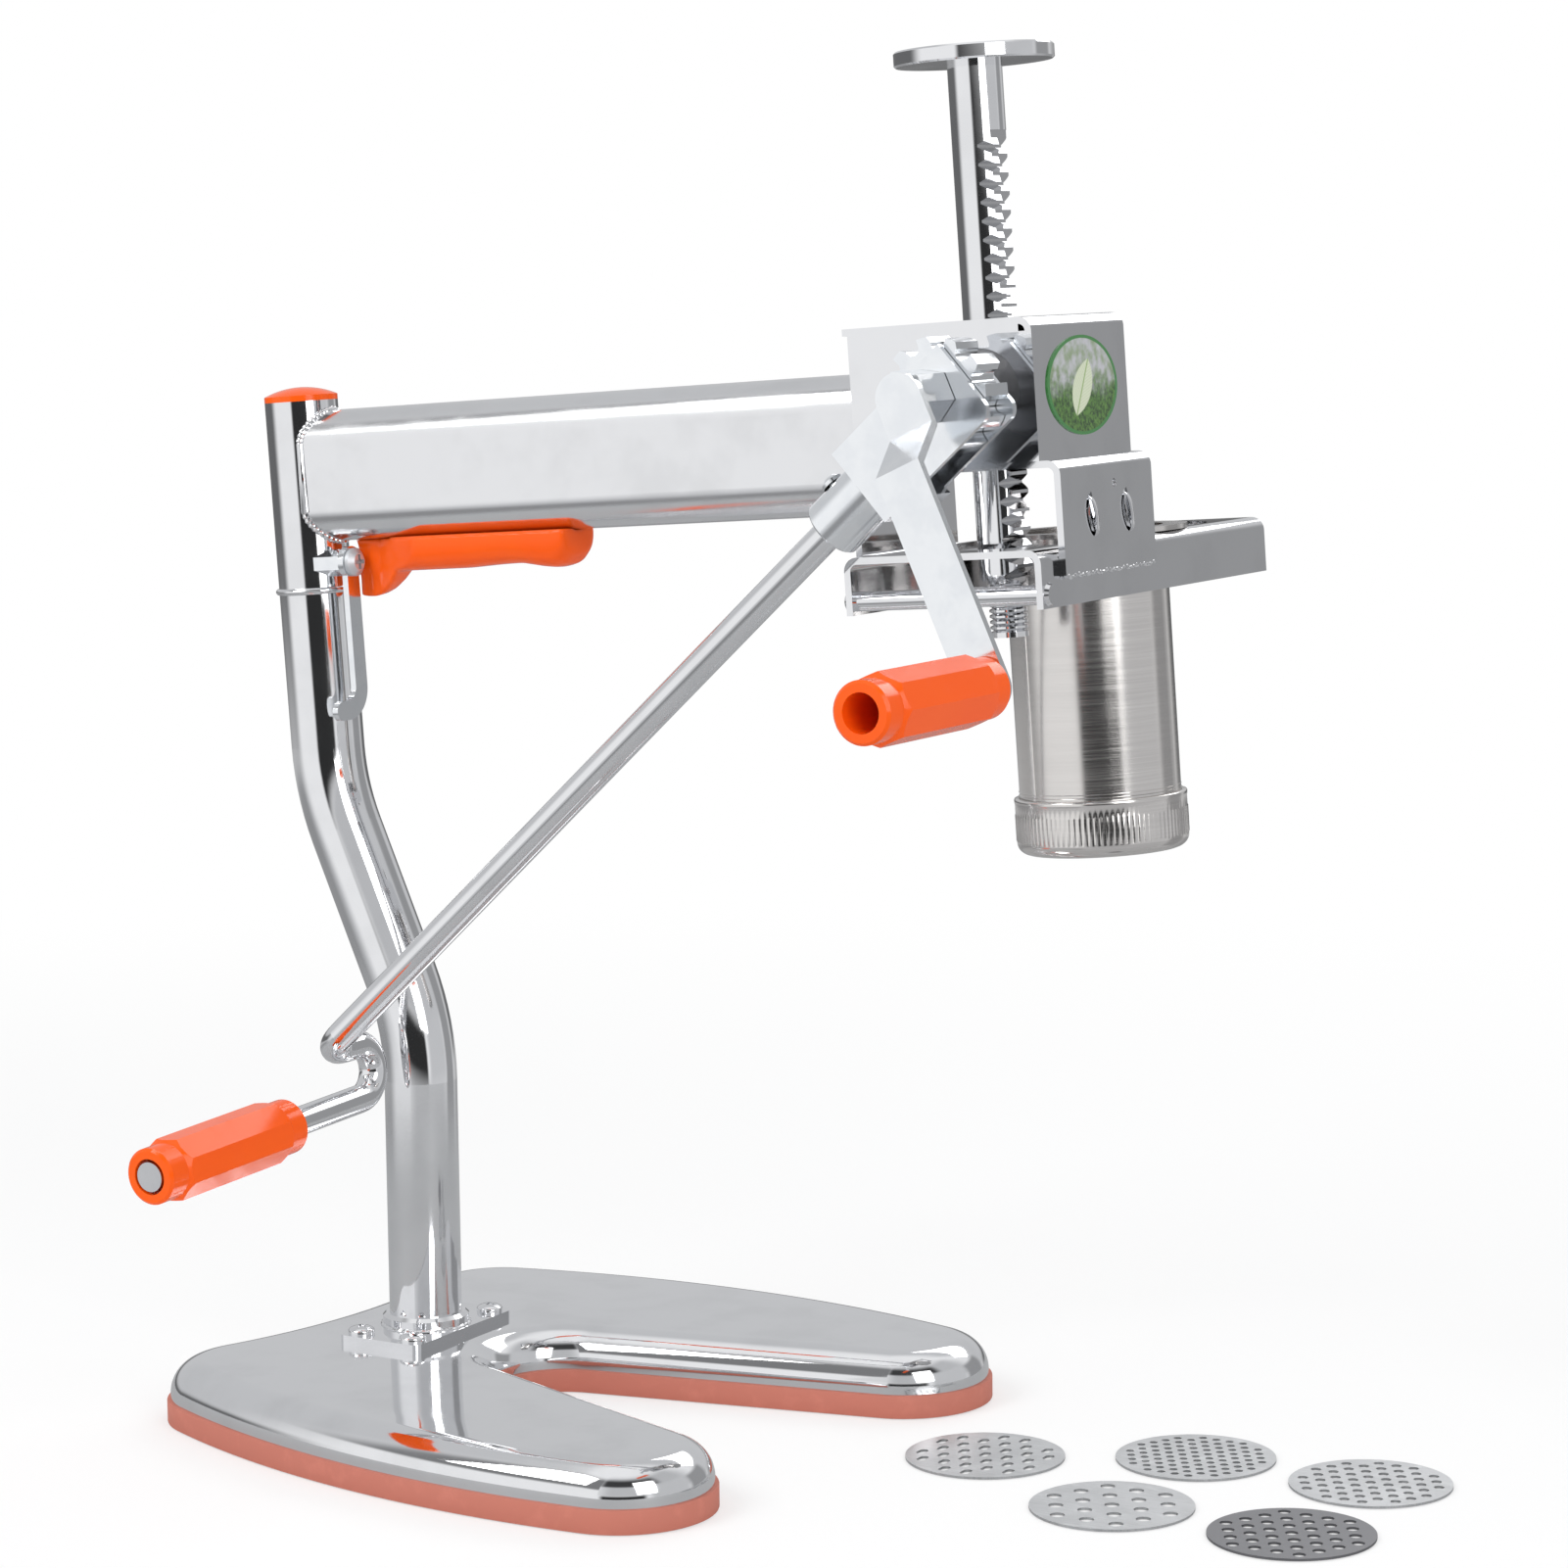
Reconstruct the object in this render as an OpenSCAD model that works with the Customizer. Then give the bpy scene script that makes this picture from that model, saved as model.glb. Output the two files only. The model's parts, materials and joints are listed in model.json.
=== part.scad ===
// Hand-lever sevai maker: a rack press on a bent column over a horseshoe foot.
// Millimetres, Z up. The origin is on the table, under the rubber rim at the closed end of the
// slot, in the arm's middle plane.
// The head frame starts at the top of the column and leans with it: X runs along the arm,
// Y to the back, Z up the column.

/* [Foot] */
// Height of the foot from the table to its flat top
base_h = 24; // [20:1:30]
// Sheet thickness of the foot plate
plate_t = 1.6; // [1.2:0.1:2.5]
// Radius of the rolled edge of the foot plate
plate_edge_r = 13; // [9:0.5:15]
// Distance from the column back to the centre of the rear lobes
lobe_x = 27; // [22:1:32]
// Half spacing of the rear lobes
lobe_y = 73; // [66:1:80]
// Radius of the rear lobes
lobe_r = 34; // [30:1:38]
// Distance from the column forward to the centre of the prong tips
tip_x = 165; // [150:1:180]
// Half spacing of the prong tips
tip_y = 90; // [84:1:96]
// Radius of the prong tips
tip_r = 33; // [28:1:36]
// Distance from the column forward to the closed end circle of the slot
slot_x = 64; // [58:1:72]
// Radius of the closed end of the slot
slot_r = 26; // [22:1:28]
// Radius of the hollow curve at the back of the foot
notch_r = 220; // [180:5:260]
// Radius of the long outer flank of each prong
flank_r = 400; // [360:10:460]
// How far the foot is turned under the column
base_turn = 5; // [0:0.5:8]
// How far the foot's middle lies behind the column
base_shift = 5; // [0:0.5:8]
// Height of the rubber rim
rim_h = 9; // [7:0.5:11]
// How far the rubber rim stands out from the plate
rim_out = 1.4; // [0.8:0.1:2]
// Width of the rubber rim under the plate
rim_w = 8; // [6:0.5:10]
// Depth of rubber under the plate's edge
rim_sole = 3; // [2:0.5:4]

/* [Column] */
// Outer diameter of the column tube
col_d = 28.6; // [26:0.2:30]
// Wall of the column tube
col_wall = 1.5; // [1.2:0.1:2.5]
// Height of the lower bend's corner above the foot
col_low = 122; // [110:1:140]
// Length between the two bends' corners
col_mid = 100; // [90:1:115]
// Length from the upper bend's corner to the top of the tube
col_up = 153; // [140:1:170]
// Slope of the stretch between the bends
mid_lean = 23.7; // [18:0.1:28]
// Lean of the upper column and of the whole head
lean = 3.8; // [0:0.1:6]
// Radius of both bends on the tube's axis
col_bend_r = 100; // [70:5:120]
// Width of the foot flange along the arm
flange_w = 38; // [36:1:46]
// Length of the foot flange across the arm
flange_l = 66; // [60:1:76]
// Thickness of the foot flange
flange_t = 3; // [2:0.5:4]
// Wall of the collar round the column's foot
collar_wall = 2.7; // [2:0.1:4]
// Height of the collar round the column's foot
collar_h = 8; // [6:0.5:12]
// Screw spacing of the foot flange along the arm
flange_pitch_w = 24.5; // [22:0.5:28]
// Screw spacing of the foot flange across the arm
flange_pitch_l = 53; // [48:0.5:58]
// Shank diameter of the flange screws
screw_d = 4; // [3:0.5:5]
// Head diameter of the flange screws
screw_head_d = 8.6; // [7:0.2:10]
// Head height of the flange screws
screw_head_h = 2.6; // [2:0.2:3.4]
// Depth of the weld seam below the top of the column
seam_drop = 74; // [66:1:90]
// Size of the weld bead round the column
seam_bead = 2.6; // [1.6:0.2:3.6]
// Height of the domed plastic cap above the column
cap_dome_h = 5.5; // [4:0.5:8]

/* [Arm] */
// Height of the flattened tube of the arm
arm_h = 51; // [46:1:54]
// Width of the flattened tube of the arm
arm_w = 25; // [20:0.5:27]
// Wall of the arm
arm_wall = 1.5; // [1.2:0.1:2]
// Depth of the arm's top below the top of the column
arm_drop = 4.2; // [3:0.2:8]
// Length of the plastic grip under the arm
under_grip_l = 110; // [100:1:130]
// Width of the plastic grip under the arm
under_grip_w = 23; // [20:0.5:24.5]
// How far the grip's edges reach up the arm's round underside
under_grip_lap = 2.5; // [2:0.5:6]
// Depth of the knob at the column end of that grip
under_knob_h = 22.5; // [20:0.5:28]
// Radius of that knob
under_knob_r = 17.5; // [14:0.5:20]
// Distance of that knob's middle from the grip's column end
under_knob_x = 11; // [8:0.5:17]
// Depth of the straight stretch of that grip
under_body_h = 13; // [11:0.5:17]

/* [Latch] */
// How far the latch sits in front of the column's axis
latch_y = 7; // [5:0.5:8]
// Depth of the latch pivot below the top of the column
latch_drop = 63.5; // [60:0.5:68]
// Distance of the hook plate from the column's axis
latch_x = 21.4; // [19:0.2:24]
// Width across the flats of the latch spacer
latch_hex = 9; // [8:0.5:10]
// Thickness of the hook plate
hook_t = 2.5; // [2:0.1:3]
// Width of the hook's shank
hook_w = 7.5; // [6.5:0.5:9]
// Length of the hook from its pivot to the start of the curl
hook_l = 48; // [42:1:54]
// Radius of the hook's curl on its middle line
hook_r = 9; // [7:0.5:11]
// Length of the hook's straight tip
hook_tip = 4; // [4:0.5:8]
// Shank diameter of the latch screw
latch_screw_d = 5; // [4:0.5:6]
// Head diameter of the latch screw
latch_head_d = 11; // [9:0.5:12]
// Head height of the latch screw
latch_head_h = 3.5; // [2.5:0.25:4]

/* [Gear box] */
// Distance from the column's axis to the rack's axis
rack_x = 307; // [290:1:320]
// Sheet thickness of the head
sheet = 2.5; // [2:0.25:3]
// Width of the gear box along the arm
box_w = 73; // [70:1:80]
// Depth of the gear box from front to back
box_d = 71.6; // [68:0.2:76]
// Height of the gear box
box_h = 50; // [48:1:56]
// How far the box's bottom lies below the top of the column
box_drop = 38.2; // [36:0.2:42]
// How far the rack sits from the middle of the box towards the arm
box_shift = 2; // [0:0.5:3]
// Outer bend radius of the bent sheet parts
bend_r = 5; // [4:0.5:8]
// Height of the spindle above the box's bottom
spindle_h = 25; // [22:0.5:28]
// How far the cover's top hangs over the frame's arm side
cover_lip = 2; // [0:0.5:3]
// Width of the two tabs that join the cover to the yoke
tab_w = 9; // [7:0.5:12]
// Spacing of those tabs
tab_pitch = 47; // [40:1:52]
// Diameter of the round opening for the spindle
spindle_port_d = 30; // [28:0.5:32]
// Long diameter of the oval badge on the box's end
badge_w = 54; // [44:1:60]
// Short diameter of the oval badge on the box's end
badge_h = 35; // [30:1:40]
// Thickness of the badge
badge_t = 0.5; // [0.3:0.1:0.8]

/* [Rack and spindle] */
// Diameter of the rack bar
rack_d = 19.5; // [18:0.5:22]
// Distance of the rack's toothed flat from its axis
rack_flat = 7.7; // [7:0.1:8.4]
// Module of the rack and pinion
gear_m = 2.1; // [1.8:0.05:2.4]
// Number of teeth of the pinion
pinion_n = 7; // [7:1:8]
// Pressure angle of the teeth
gear_alpha = 30; // [28:1:31]
// Backlash between the teeth
gear_lash = 0.3; // [0.2:0.05:0.5]
// Height of the press disc's underside above the top of the column
disc_rise = 102; // [95:1:110]
// Diameter of the press disc
disc_d = 57; // [54:0.5:57.6]
// Thickness of the press disc
disc_t = 5.5; // [4:0.5:8]
// Length of the plain neck under the press disc
rack_neck = 24; // [20:1:30]
// Depth of the rack's shoulder below the top of the column
rack_foot_drop = 80.5; // [76:0.5:90]
// Diameter of the threaded end of the rack
rack_thread_d = 14; // [12:0.5:16]
// Length of the threaded end of the rack
rack_thread_l = 20.5; // [16:0.5:24]
// Diameter of the spindle's journals
spindle_d = 14; // [12:0.5:15]
// Diameter of the spindle's rear journal and of its threaded front end
spindle_rear_d = 10; // [8:0.5:10]
// Running clearance of the turning and sliding fits
fit = 0.08; // [0.05:0.01:0.1]
// Thickness of the bearing flanges
bearing_t = 5; // [4:0.5:7]
// Outer diameter of the spindle's retaining clip
clip_d = 16; // [14:0.5:18]

/* [Ratchet lever] */
// Outer diameter of the ratchet wheel
wheel_d = 40; // [37:0.5:42]
// Number of teeth of the ratchet wheel
wheel_n = 11; // [9:1:12]
// Depth of the ratchet teeth
wheel_tooth = 4.6; // [3:0.2:5]
// Width of the ratchet wheel
wheel_t = 16; // [14:0.5:18]
// Gap from the box to the rear plate of the lever's fork
fork_gap = 14.7; // [12:0.1:17]
// Thickness of the fork plates
fork_t = 2.5; // [2:0.25:3]
// Side play of the wheel in the fork
fork_play = 0.4; // [0.3:0.05:0.6]
// Reach of the fork plates beyond the spindle, away from the rod
fork_back = 14; // [13:0.5:18]
// Reach of the fork plates from the spindle to the web
fork_reach = 42.5; // [40:0.5:48]
// Reach of the fork plates above the spindle line
fork_up = 11; // [10:0.5:14]
// Reach of the fork plates below the spindle line
fork_down = 20; // [17:0.5:23]
// Rounding of the fork plates' lower corner
fork_corner_r = 5; // [3:0.5:7]
// How far the fork and rod lie below the line through the spindle
fork_offset = 4.6; // [3:0.1:5]
// Angle of the lever below the arm at rest
lever_angle = 38.5; // [30:0.5:45]
// Distance of the pawl's pin from the spindle along the lever
pawl_u = 32; // [31:0.5:34]
// Distance of the pawl's pin below the spindle line
pawl_w = 6; // [4:0.5:8]
// Diameter of the pawl's pin
pawl_pin_d = 5; // [4:0.5:6]
// Width of the pawl
pawl_t = 12; // [9:0.5:15]
// Gap between the lifted pawl and the ratchet wheel
pawl_gap = 0.6; // [0.5:0.1:1]
// How far the pawl's thumb tab stands out of the fork
pawl_tab = 4; // [2:0.5:6]
// Outer diameter of the rod socket
socket_d = 22; // [19:0.5:22.5]
// Length of the rod socket
socket_l = 23; // [20:0.5:28]
// Diameter of the lever rod
rod_d = 11; // [10:0.5:12]
// Distance from the spindle to the rod's first bend
rod_reach = 371; // [340:1:380]
// Length of the rod's stretch behind the first bend
rod_step = 20; // [17:0.5:24]
// Radius of the rod's first bend on its axis
rod_bend_r = 12; // [10:0.5:14]
// Radius of the rod's turn back to the handle
rod_turn_r = 10.5; // [9.5:0.5:12]
// Distance from the turn to the handle's grip
rod_neck = 46.5; // [36:0.5:54]
// Droop of the handle below square to the rod
rod_droop = 2.5; // [1:0.5:4]

/* [Crank and grips] */
// Distance from the spindle to the crank's grip
crank_l = 103; // [95:1:112]
// Angle of the crank from straight down at rest
crank_angle = 20.5; // [10:0.5:30]
// Width of the crank strip
crank_w = 17.5; // [15:0.5:21]
// Thickness of the crank strip
crank_t = 3; // [2.5:0.25:4]
// Forward step of the crank strip
crank_step = 19; // [12:0.5:22]
// Distance from the spindle to the start of that step
crank_flat = 13.5; // [11:0.5:17]
// Length of that step along the strip
crank_run = 12.5; // [9:0.5:15]
// Width across the flats of the crank's nut
nut_af = 17; // [15:0.5:19]
// Length of the crank's nut
nut_l = 19; // [14:0.5:22]
// Length of both turning grips
grip_l = 82; // [72:1:96]
// Diameter of the plain ends of the grips
grip_end_d = 21; // [20:0.5:23]
// Length of the plain ends of the grips
grip_end_l = 9; // [6:0.5:14]
// Width across the flats of the raised middle of the grips
grip_mid_af = 22.6; // [21.8:0.2:24.5]
// Bore at the front of the grips
grip_bore = 13.3; // [12.6:0.1:14]
// Depth of the crank grip's front bore
grip_bore_l = 61; // [50:1:68]
// Depth of the lever grip's front bore
rod_recess = 10; // [7:0.5:14]
// Thickness of the heads that hold the grips
grip_head_t = 3; // [2:0.5:4]
// Diameter of the crank's grip pin
grip_pin_d = 8; // [7:0.5:9]

/* [Yoke and tray] */
// Width of the yoke along the arm
yoke_w = 83; // [78:1:90]
// Length of the yoke from front to back
yoke_l = 71.3; // [66:0.1:76]
// How far the yoke's middle lies behind the spindle's middle
yoke_set = 1.4; // [0:0.2:3]
// Height of the yoke
yoke_h = 40; // [36:0.5:46]
// How far the yoke's walls reach down over the tray
yoke_lap = 10; // [8:0.5:13]
// Length of the two louvres in the yoke's end wall
louvre_l = 14; // [10:0.5:17]
// Width of those louvres
louvre_w = 3; // [2:0.5:5]
// Slant of those louvres
louvre_slant = 22; // [10:1:35]
// Spacing of those louvres
louvre_pitch = 27.7; // [22:0.5:32]
// Height of the tray's flanges
tray_h = 20.5; // [19:0.5:24]
// Length of the tray from front to back
tray_l = 184; // [175:1:192]
// Distance from the rack's axis to the tray's front edge
tray_front = 48; // [45:0.5:52]
// Diameter of the stop rod across the tray's front
stop_rod_d = 7; // [5:0.5:8]
// Distance of the stop rod behind the tray's front edge
stop_rod_in = 5; // [4:0.5:8]
// Travel length of the barrel's slot in the tray
slot_travel = 97; // [92:1:102]
// Gap round the barrel in that slot
barrel_gap = 0.6; // [0.4:0.1:1]

/* [Barrel] */
// Outer diameter of the barrel
barrel_d = 60; // [59:0.5:62]
// Wall of the barrel
barrel_wall = 1; // [0.8:0.1:1.6]
// Height of the barrel from its flange to the cap
barrel_l = 96.5; // [88:0.5:104]
// How far the barrel's top flange stands out from it
barrel_flange_w = 8; // [6.5:0.25:8.5]
// Thickness of the barrel's top flange
barrel_flange_t = 1.8; // [1.2:0.1:2.4]
// Distance from the rack's axis to the barrel's axis
barrel_y = 63; // [62:0.5:68]
// Wall of the barrel's screw cap
cap_wall = 2.15; // [1.5:0.05:3]
// Height of the barrel's screw cap
cap_h = 21; // [18:0.5:24]
// How far the cap's bottom lip reaches in under the barrel
cap_lip_w = 5; // [3.5:0.25:7]
// Thickness of the cap's bottom lip
cap_lip_t = 1.6; // [1.2:0.1:2.4]
// Rounding of the cap's bottom edge
cap_round_r = 4.5; // [3:0.5:4.5]
// Depth of the knurled band below the cap's top edge
knurl_drop = 6; // [4:0.5:8]
// Height of the knurled band
knurl_h = 9.8; // [7:0.2:11]
// Number of notches in the knurled band
knurl_n = 90; // [60:2:120]

/* [Dies] */
// Clearance of the die plates in the screw cap
die_gap = 0.2; // [0.1:0.05:0.7]
// Thickness of the die plates
die_t = 0.9; // [0.8:0.1:1.5]
// Thickness of the sealing ring above the working die
seal_t = 1.6; // [1.2:0.1:2]
// Width of the sealing ring
seal_w = 3.5; // [2.5:0.25:4.5]
// Hole diameter of the fine die
fine_hole_d = 3; // [2.4:0.1:3.6]
// Hole pitch of the fine die
fine_pitch = 5.5; // [5:0.1:6.2]
// Hole diameter of the medium die and of the working die
medium_hole_d = 3.8; // [3:0.1:4.4]
// Hole pitch of those dies
medium_pitch = 6.9; // [6.4:0.1:7.4]
// Hole diameter of the coarse die
coarse_hole_d = 5.4; // [4.5:0.1:6]
// Hole pitch of the coarse die
coarse_pitch = 11.6; // [11:0.1:12.2]
// Hole diameter of the dark dimpled die
dimple_hole_d = 4.6; // [3.8:0.1:5.2]
// Hole pitch of the dark dimpled die
dimple_pitch = 8.4; // [7.8:0.1:9]
// Length of the slots in the oval-hole die
oval_l = 6; // [5:0.2:7]
// Width of the slots in the oval-hole die
oval_w = 3.4; // [2.6:0.1:4]
// Distance from the column's axis to the first row of spare dies
spare_x = 240; // [232:1:262]
// Distance of the first spare die behind the arm's middle plane
spare_y = 20; // [0:1:40]
// Spacing of the spare dies on the table
spare_pitch = 70; // [66:1:80]

/* [Hidden] */
$fn = 64;
// Overrun of the cutting shapes
over = 1;
// Clearance of parts that only pass each other
miss = 0.3;
// How far straight bars lap into their bends, and how much thinner a bend is drawn
bend_lap = 0.2;
bend_thin = 0.02;

// Foot outline: centres of its arcs
outline_steps = 9;
tip_pos = [tip_x, tip_y];
lobe_pos = [-lobe_x, lobe_y];
slot_pos = [slot_x, 0];
notch_pos = [-lobe_x - sqrt(pow(notch_r + lobe_r, 2) - lobe_y * lobe_y), 0];
slot_to_tip = tip_pos - slot_pos;
inner_angle = atan2(slot_to_tip[1], slot_to_tip[0]) - asin((slot_r + tip_r) / norm(slot_to_tip));
notch_angle = atan2(lobe_y, -lobe_x - notch_pos[0]);
// Centre of the flank arc, which holds the lobe and the tip circles inside it
flank_base = tip_pos - lobe_pos;
flank_span = norm(flank_base);
flank_along = (pow(flank_r - lobe_r, 2) - pow(flank_r - tip_r, 2) + flank_span * flank_span)
    / (2 * flank_span);
flank_across = sqrt(pow(flank_r - lobe_r, 2) - flank_along * flank_along);
flank_pos = lobe_pos + flank_base / flank_span * flank_along
    + [flank_base[1], -flank_base[0]] / flank_span * flank_across;
flank_tip_angle = atan2(tip_pos[1] - flank_pos[1], tip_pos[0] - flank_pos[0]);
flank_lobe_angle = atan2(lobe_pos[1] - flank_pos[1], lobe_pos[0] - flank_pos[0]);

// Column: straight lengths between the bends, and the head frame's place
high_turn = mid_lean - lean;
low_run = col_low - col_bend_r * tan(mid_lean / 2);
mid_run = col_mid - col_bend_r * (tan(mid_lean / 2) + tan(high_turn / 2));
up_run = col_up - col_bend_r * tan(high_turn / 2);
// Place of the column's foot: the origin is in the middle of the rim's width
col_pos = [-(slot_x - slot_r - (rim_w - rim_out) / 2), 0, 0];
head_pos = col_pos + [-col_mid * sin(mid_lean) - col_up * sin(lean), 0,
    base_h + col_low + col_mid * cos(mid_lean) + col_up * cos(lean)];

// Arm and gear box in the head frame
arm_floor = -arm_drop - arm_h;
arm_z = arm_floor + arm_h / 2;
box_x0 = rack_x - box_shift - box_w / 2;
box_x1 = box_x0 + box_w;
box_y0 = -box_d / 2;
box_y1 = box_d / 2;
box_z0 = -box_drop;
box_z1 = box_z0 + box_h;

// Teeth: stub rack and pinion
gear_add = 0.8 * gear_m;
gear_ded = 1.05 * gear_m;
gear_pitch = PI * gear_m;
pinion_r = pinion_n * gear_m / 2;
pinion_tip_r = pinion_r + gear_add;
pinion_root_r = pinion_r - gear_ded;
pinion_base_r = pinion_r * cos(gear_alpha);
involute_alpha = tan(gear_alpha) * 180 / PI - gear_alpha;
rack_pitch_x = rack_flat - gear_add;
rack_root_x = rack_pitch_x - gear_ded;
spindle_x = rack_x + rack_pitch_x + pinion_r;
spindle_z = box_z0 + spindle_h;
rack_top = disc_rise;
rack_foot = -rack_foot_drop;

// Stations along the spindle, from the box forward
fork_rear_y = box_y0 - fork_gap;
wheel_y = fork_rear_y - fork_t - fork_play;
fork_front_y = wheel_y - wheel_t - fork_play;
nut_y = fork_front_y - fork_t - fork_play;
crank_y = nut_y - nut_l;
lever_y = (fork_rear_y + fork_front_y - fork_t) / 2;

// Yoke, tray and barrel
yoke_x0 = rack_x - yoke_w / 2;
yoke_x1 = rack_x + yoke_w / 2;
yoke_z1 = box_z0;
yoke_z0 = yoke_z1 - yoke_h;
tray_top = yoke_z0 + yoke_lap;
tray_w = yoke_w - 2 * sheet;
barrel_low = tray_top - barrel_l;
barrel_bore = barrel_d - 2 * barrel_wall;
barrel_flange_d = barrel_d + 2 * barrel_flange_w;
cap_d = barrel_d + 2 * cap_wall;
cap_mouth_d = barrel_d - 2 * cap_lip_w;
die_d = barrel_d - 2 * die_gap;
cap_low = barrel_low - cap_h;
die_z = cap_low + cap_lip_t;
seal_z = die_z + die_t;
barrel_end = seal_z + seal_t;

// Shared modules

// Places its children in the leaning head frame
module head() {
    translate(head_pos) rotate([0, -lean, 0]) children();
}

// Places its children at the spindle in the head frame
module at_spindle() {
    translate([spindle_x, 0, spindle_z]) children();
}

// Cylinder that starts at depth y and runs forward
module rod_y(d, l, y) {
    translate([0, y, 0]) rotate([90, 0, 0]) cylinder(d = d, h = l);
}

// Rectangle centred on the origin, with round corners
module rounded_rect(w, h, r) {
    square([w - 2 * r, h], center = true);
    square([w, h - 2 * r], center = true);
    for (sx = [-1, 1], sy = [-1, 1]) translate([sx * (w / 2 - r), sy * (h / 2 - r)]) circle(r);
}

// Outline of a channel bent from sheet: open below, with round outer and inner corners
module channel(w, h, t, r) {
    difference() {
        union() {
            translate([-w / 2, -h]) square([w, h - r]);
            translate([-w / 2 + r, -h]) square([w - 2 * r, h]);
            for (s = [-1, 1]) translate([s * (w / 2 - r), -r]) circle(r);
        }
        translate([-w / 2 + t, -h - over]) square([w - 2 * t, h - r + over]);
        translate([-w / 2 + r, -h - over]) square([w - 2 * r, h - t + over]);
        for (s = [-1, 1]) translate([s * (w / 2 - r), -r]) circle(r - t);
    }
}

// Pan head above z = 0 with a cross recess, over a shank
module pan_screw(shank_d, shank_l, head_d, head_h) {
    cross_l = head_d * 0.52;
    cross_w = head_d * 0.14;
    difference() {
        union() {
            translate([0, 0, -shank_l]) cylinder(d = shank_d, h = shank_l);
            cylinder(d = head_d, h = head_h / 2);
            translate([0, 0, head_h / 2]) cylinder(d1 = head_d, d2 = head_d * 0.6, h = head_h / 2);
        }
        for (a = [0, 90]) rotate([0, 0, a])
            translate([-cross_l / 2, -cross_w / 2, head_h * 0.45]) cube([cross_l, cross_w, head_h]);
    }
}

// Straight bar along Z that laps into the bends beside it, then its children at its end
module bar_run(l, d) {
    translate([0, 0, -bend_lap]) cylinder(d = d, h = l + 2 * bend_lap);
    translate([0, 0, l]) children();
}

// Bend from Z towards -X (towards X where a is negative), then its children at its end
module bar_bend(r, a, d) {
    rotate([0, 0, a > 0 ? 0 : 180]) translate([-r, 0, 0]) rotate([90, 0, 0])
        rotate_extrude(angle = abs(a)) translate([r, 0]) circle(d = d - bend_thin);
    translate([-sign(a) * r * (1 - cos(a)), 0, r * sin(abs(a))]) rotate([0, -a, 0]) children();
}

// Foot

// Points of an arc
function arc(c, r, a0, a1, n) =
    [for (i = [0 : n]) c + r * [cos(a0 + (a1 - a0) * i / n), sin(a0 + (a1 - a0) * i / n)]];

// Upper half of the foot's outline drawn in by d: slot, prong tip, flank, rear lobe, hollow
function half_outline(d) = concat(
    arc(slot_pos, slot_r + d, 180, 90 + inner_angle, outline_steps),
    arc(tip_pos, tip_r - d, inner_angle - 90, flank_tip_angle, 2 * outline_steps),
    arc(flank_pos, flank_r - d, flank_tip_angle, flank_lobe_angle, outline_steps),
    arc(lobe_pos, lobe_r - d, flank_lobe_angle, 180 + notch_angle, outline_steps),
    arc(notch_pos, notch_r + d, notch_angle, 0, outline_steps)
);

// Drops the points that repeat where two arcs meet
function tidy(p) = [for (i = [0 : len(p) - 1]) if (i == 0 || norm(p[i] - p[max(i - 1, 0)]) > fit) p[i]];

// Whole outline drawn in by d, anticlockwise
function foot_outline(d) =
    let (h = tidy(half_outline(d)), n = len(h))
    concat(h, [for (i = [n - 2 : -1 : 1]) [h[i][0], -h[i][1]]]);

// Rings of a pressed plate: a wall from z0, then a rolled edge of radius r up to z1
function rolled_edge(z0, z1, r, d, n) = concat(
    [[d, z0]],
    [for (i = [0 : n]) [d + r * (1 - cos(90 * i / n)), z1 - r + r * sin(90 * i / n)]]
);

// Solid through rings of the foot's outline: each ring is [inset, height]
module foot_solid(rings) {
    loops = [for (r = rings) [for (p = foot_outline(r[0])) [p[0], p[1], r[1]]]];
    n = len(loops[0]);
    m = len(loops);
    polyhedron(
        points = [for (l = loops) each l],
        faces = concat(
            [[for (i = [0 : n - 1]) i]],
            [for (k = [0 : m - 2], i = [0 : n - 1])
                [k * n + i, (k + 1) * n + i, (k + 1) * n + (i + 1) % n, k * n + (i + 1) % n]],
            [[for (i = [n - 1 : -1 : 0]) (m - 1) * n + i]]
        ));
}

// Turns and shifts the foot under the column
module foot_place() {
    translate(col_pos + [0, base_shift, 0]) rotate([0, 0, -base_turn]) children();
}

module base_plate() {
    inside = rolled_edge(rim_sole, base_h - plate_t, plate_edge_r - plate_t, plate_t, 4);
    outside = rolled_edge(rim_sole, base_h, plate_edge_r, 0, 6);
    color("silver") difference() {
        foot_place() foot_solid(concat([for (i = [len(inside) - 1 : -1 : 0]) inside[i]], outside));
        translate(col_pos) flange_places() cylinder(d = screw_d + 2 * fit, h = base_h + over);
    }
}

module base_rim() {
    color("salmon") foot_place() difference() {
        linear_extrude(rim_h) polygon(foot_outline(-rim_out));
        translate([0, 0, -over]) linear_extrude(rim_h + 2 * over) polygon(foot_outline(rim_w));
        translate([0, 0, rim_sole]) linear_extrude(rim_h) polygon(foot_outline(0));
    }
}

// The four screw places of the foot flange
module flange_places() {
    for (sx = [-1, 1], sy = [-1, 1])
        translate([sx * flange_pitch_w / 2, sy * flange_pitch_l / 2, 0]) children();
}

module column_flange() {
    bevel = collar_wall / 2;
    color("lightgray") translate(col_pos + [0, 0, base_h]) difference() {
        union() {
            linear_extrude(flange_t) rounded_rect(flange_w, flange_l, (flange_w - flange_pitch_w) / 4);
            cylinder(d = col_d + 2 * collar_wall, h = collar_h - bevel);
            translate([0, 0, collar_h - bevel])
                cylinder(d1 = col_d + 2 * collar_wall, d2 = col_d + collar_wall, h = bevel);
        }
        translate([0, 0, -over]) cylinder(d = col_d, h = collar_h + 2 * over);
        flange_places() translate([0, 0, -over]) cylinder(d = screw_d + 2 * fit, h = flange_t + 2 * over);
    }
}

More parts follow.
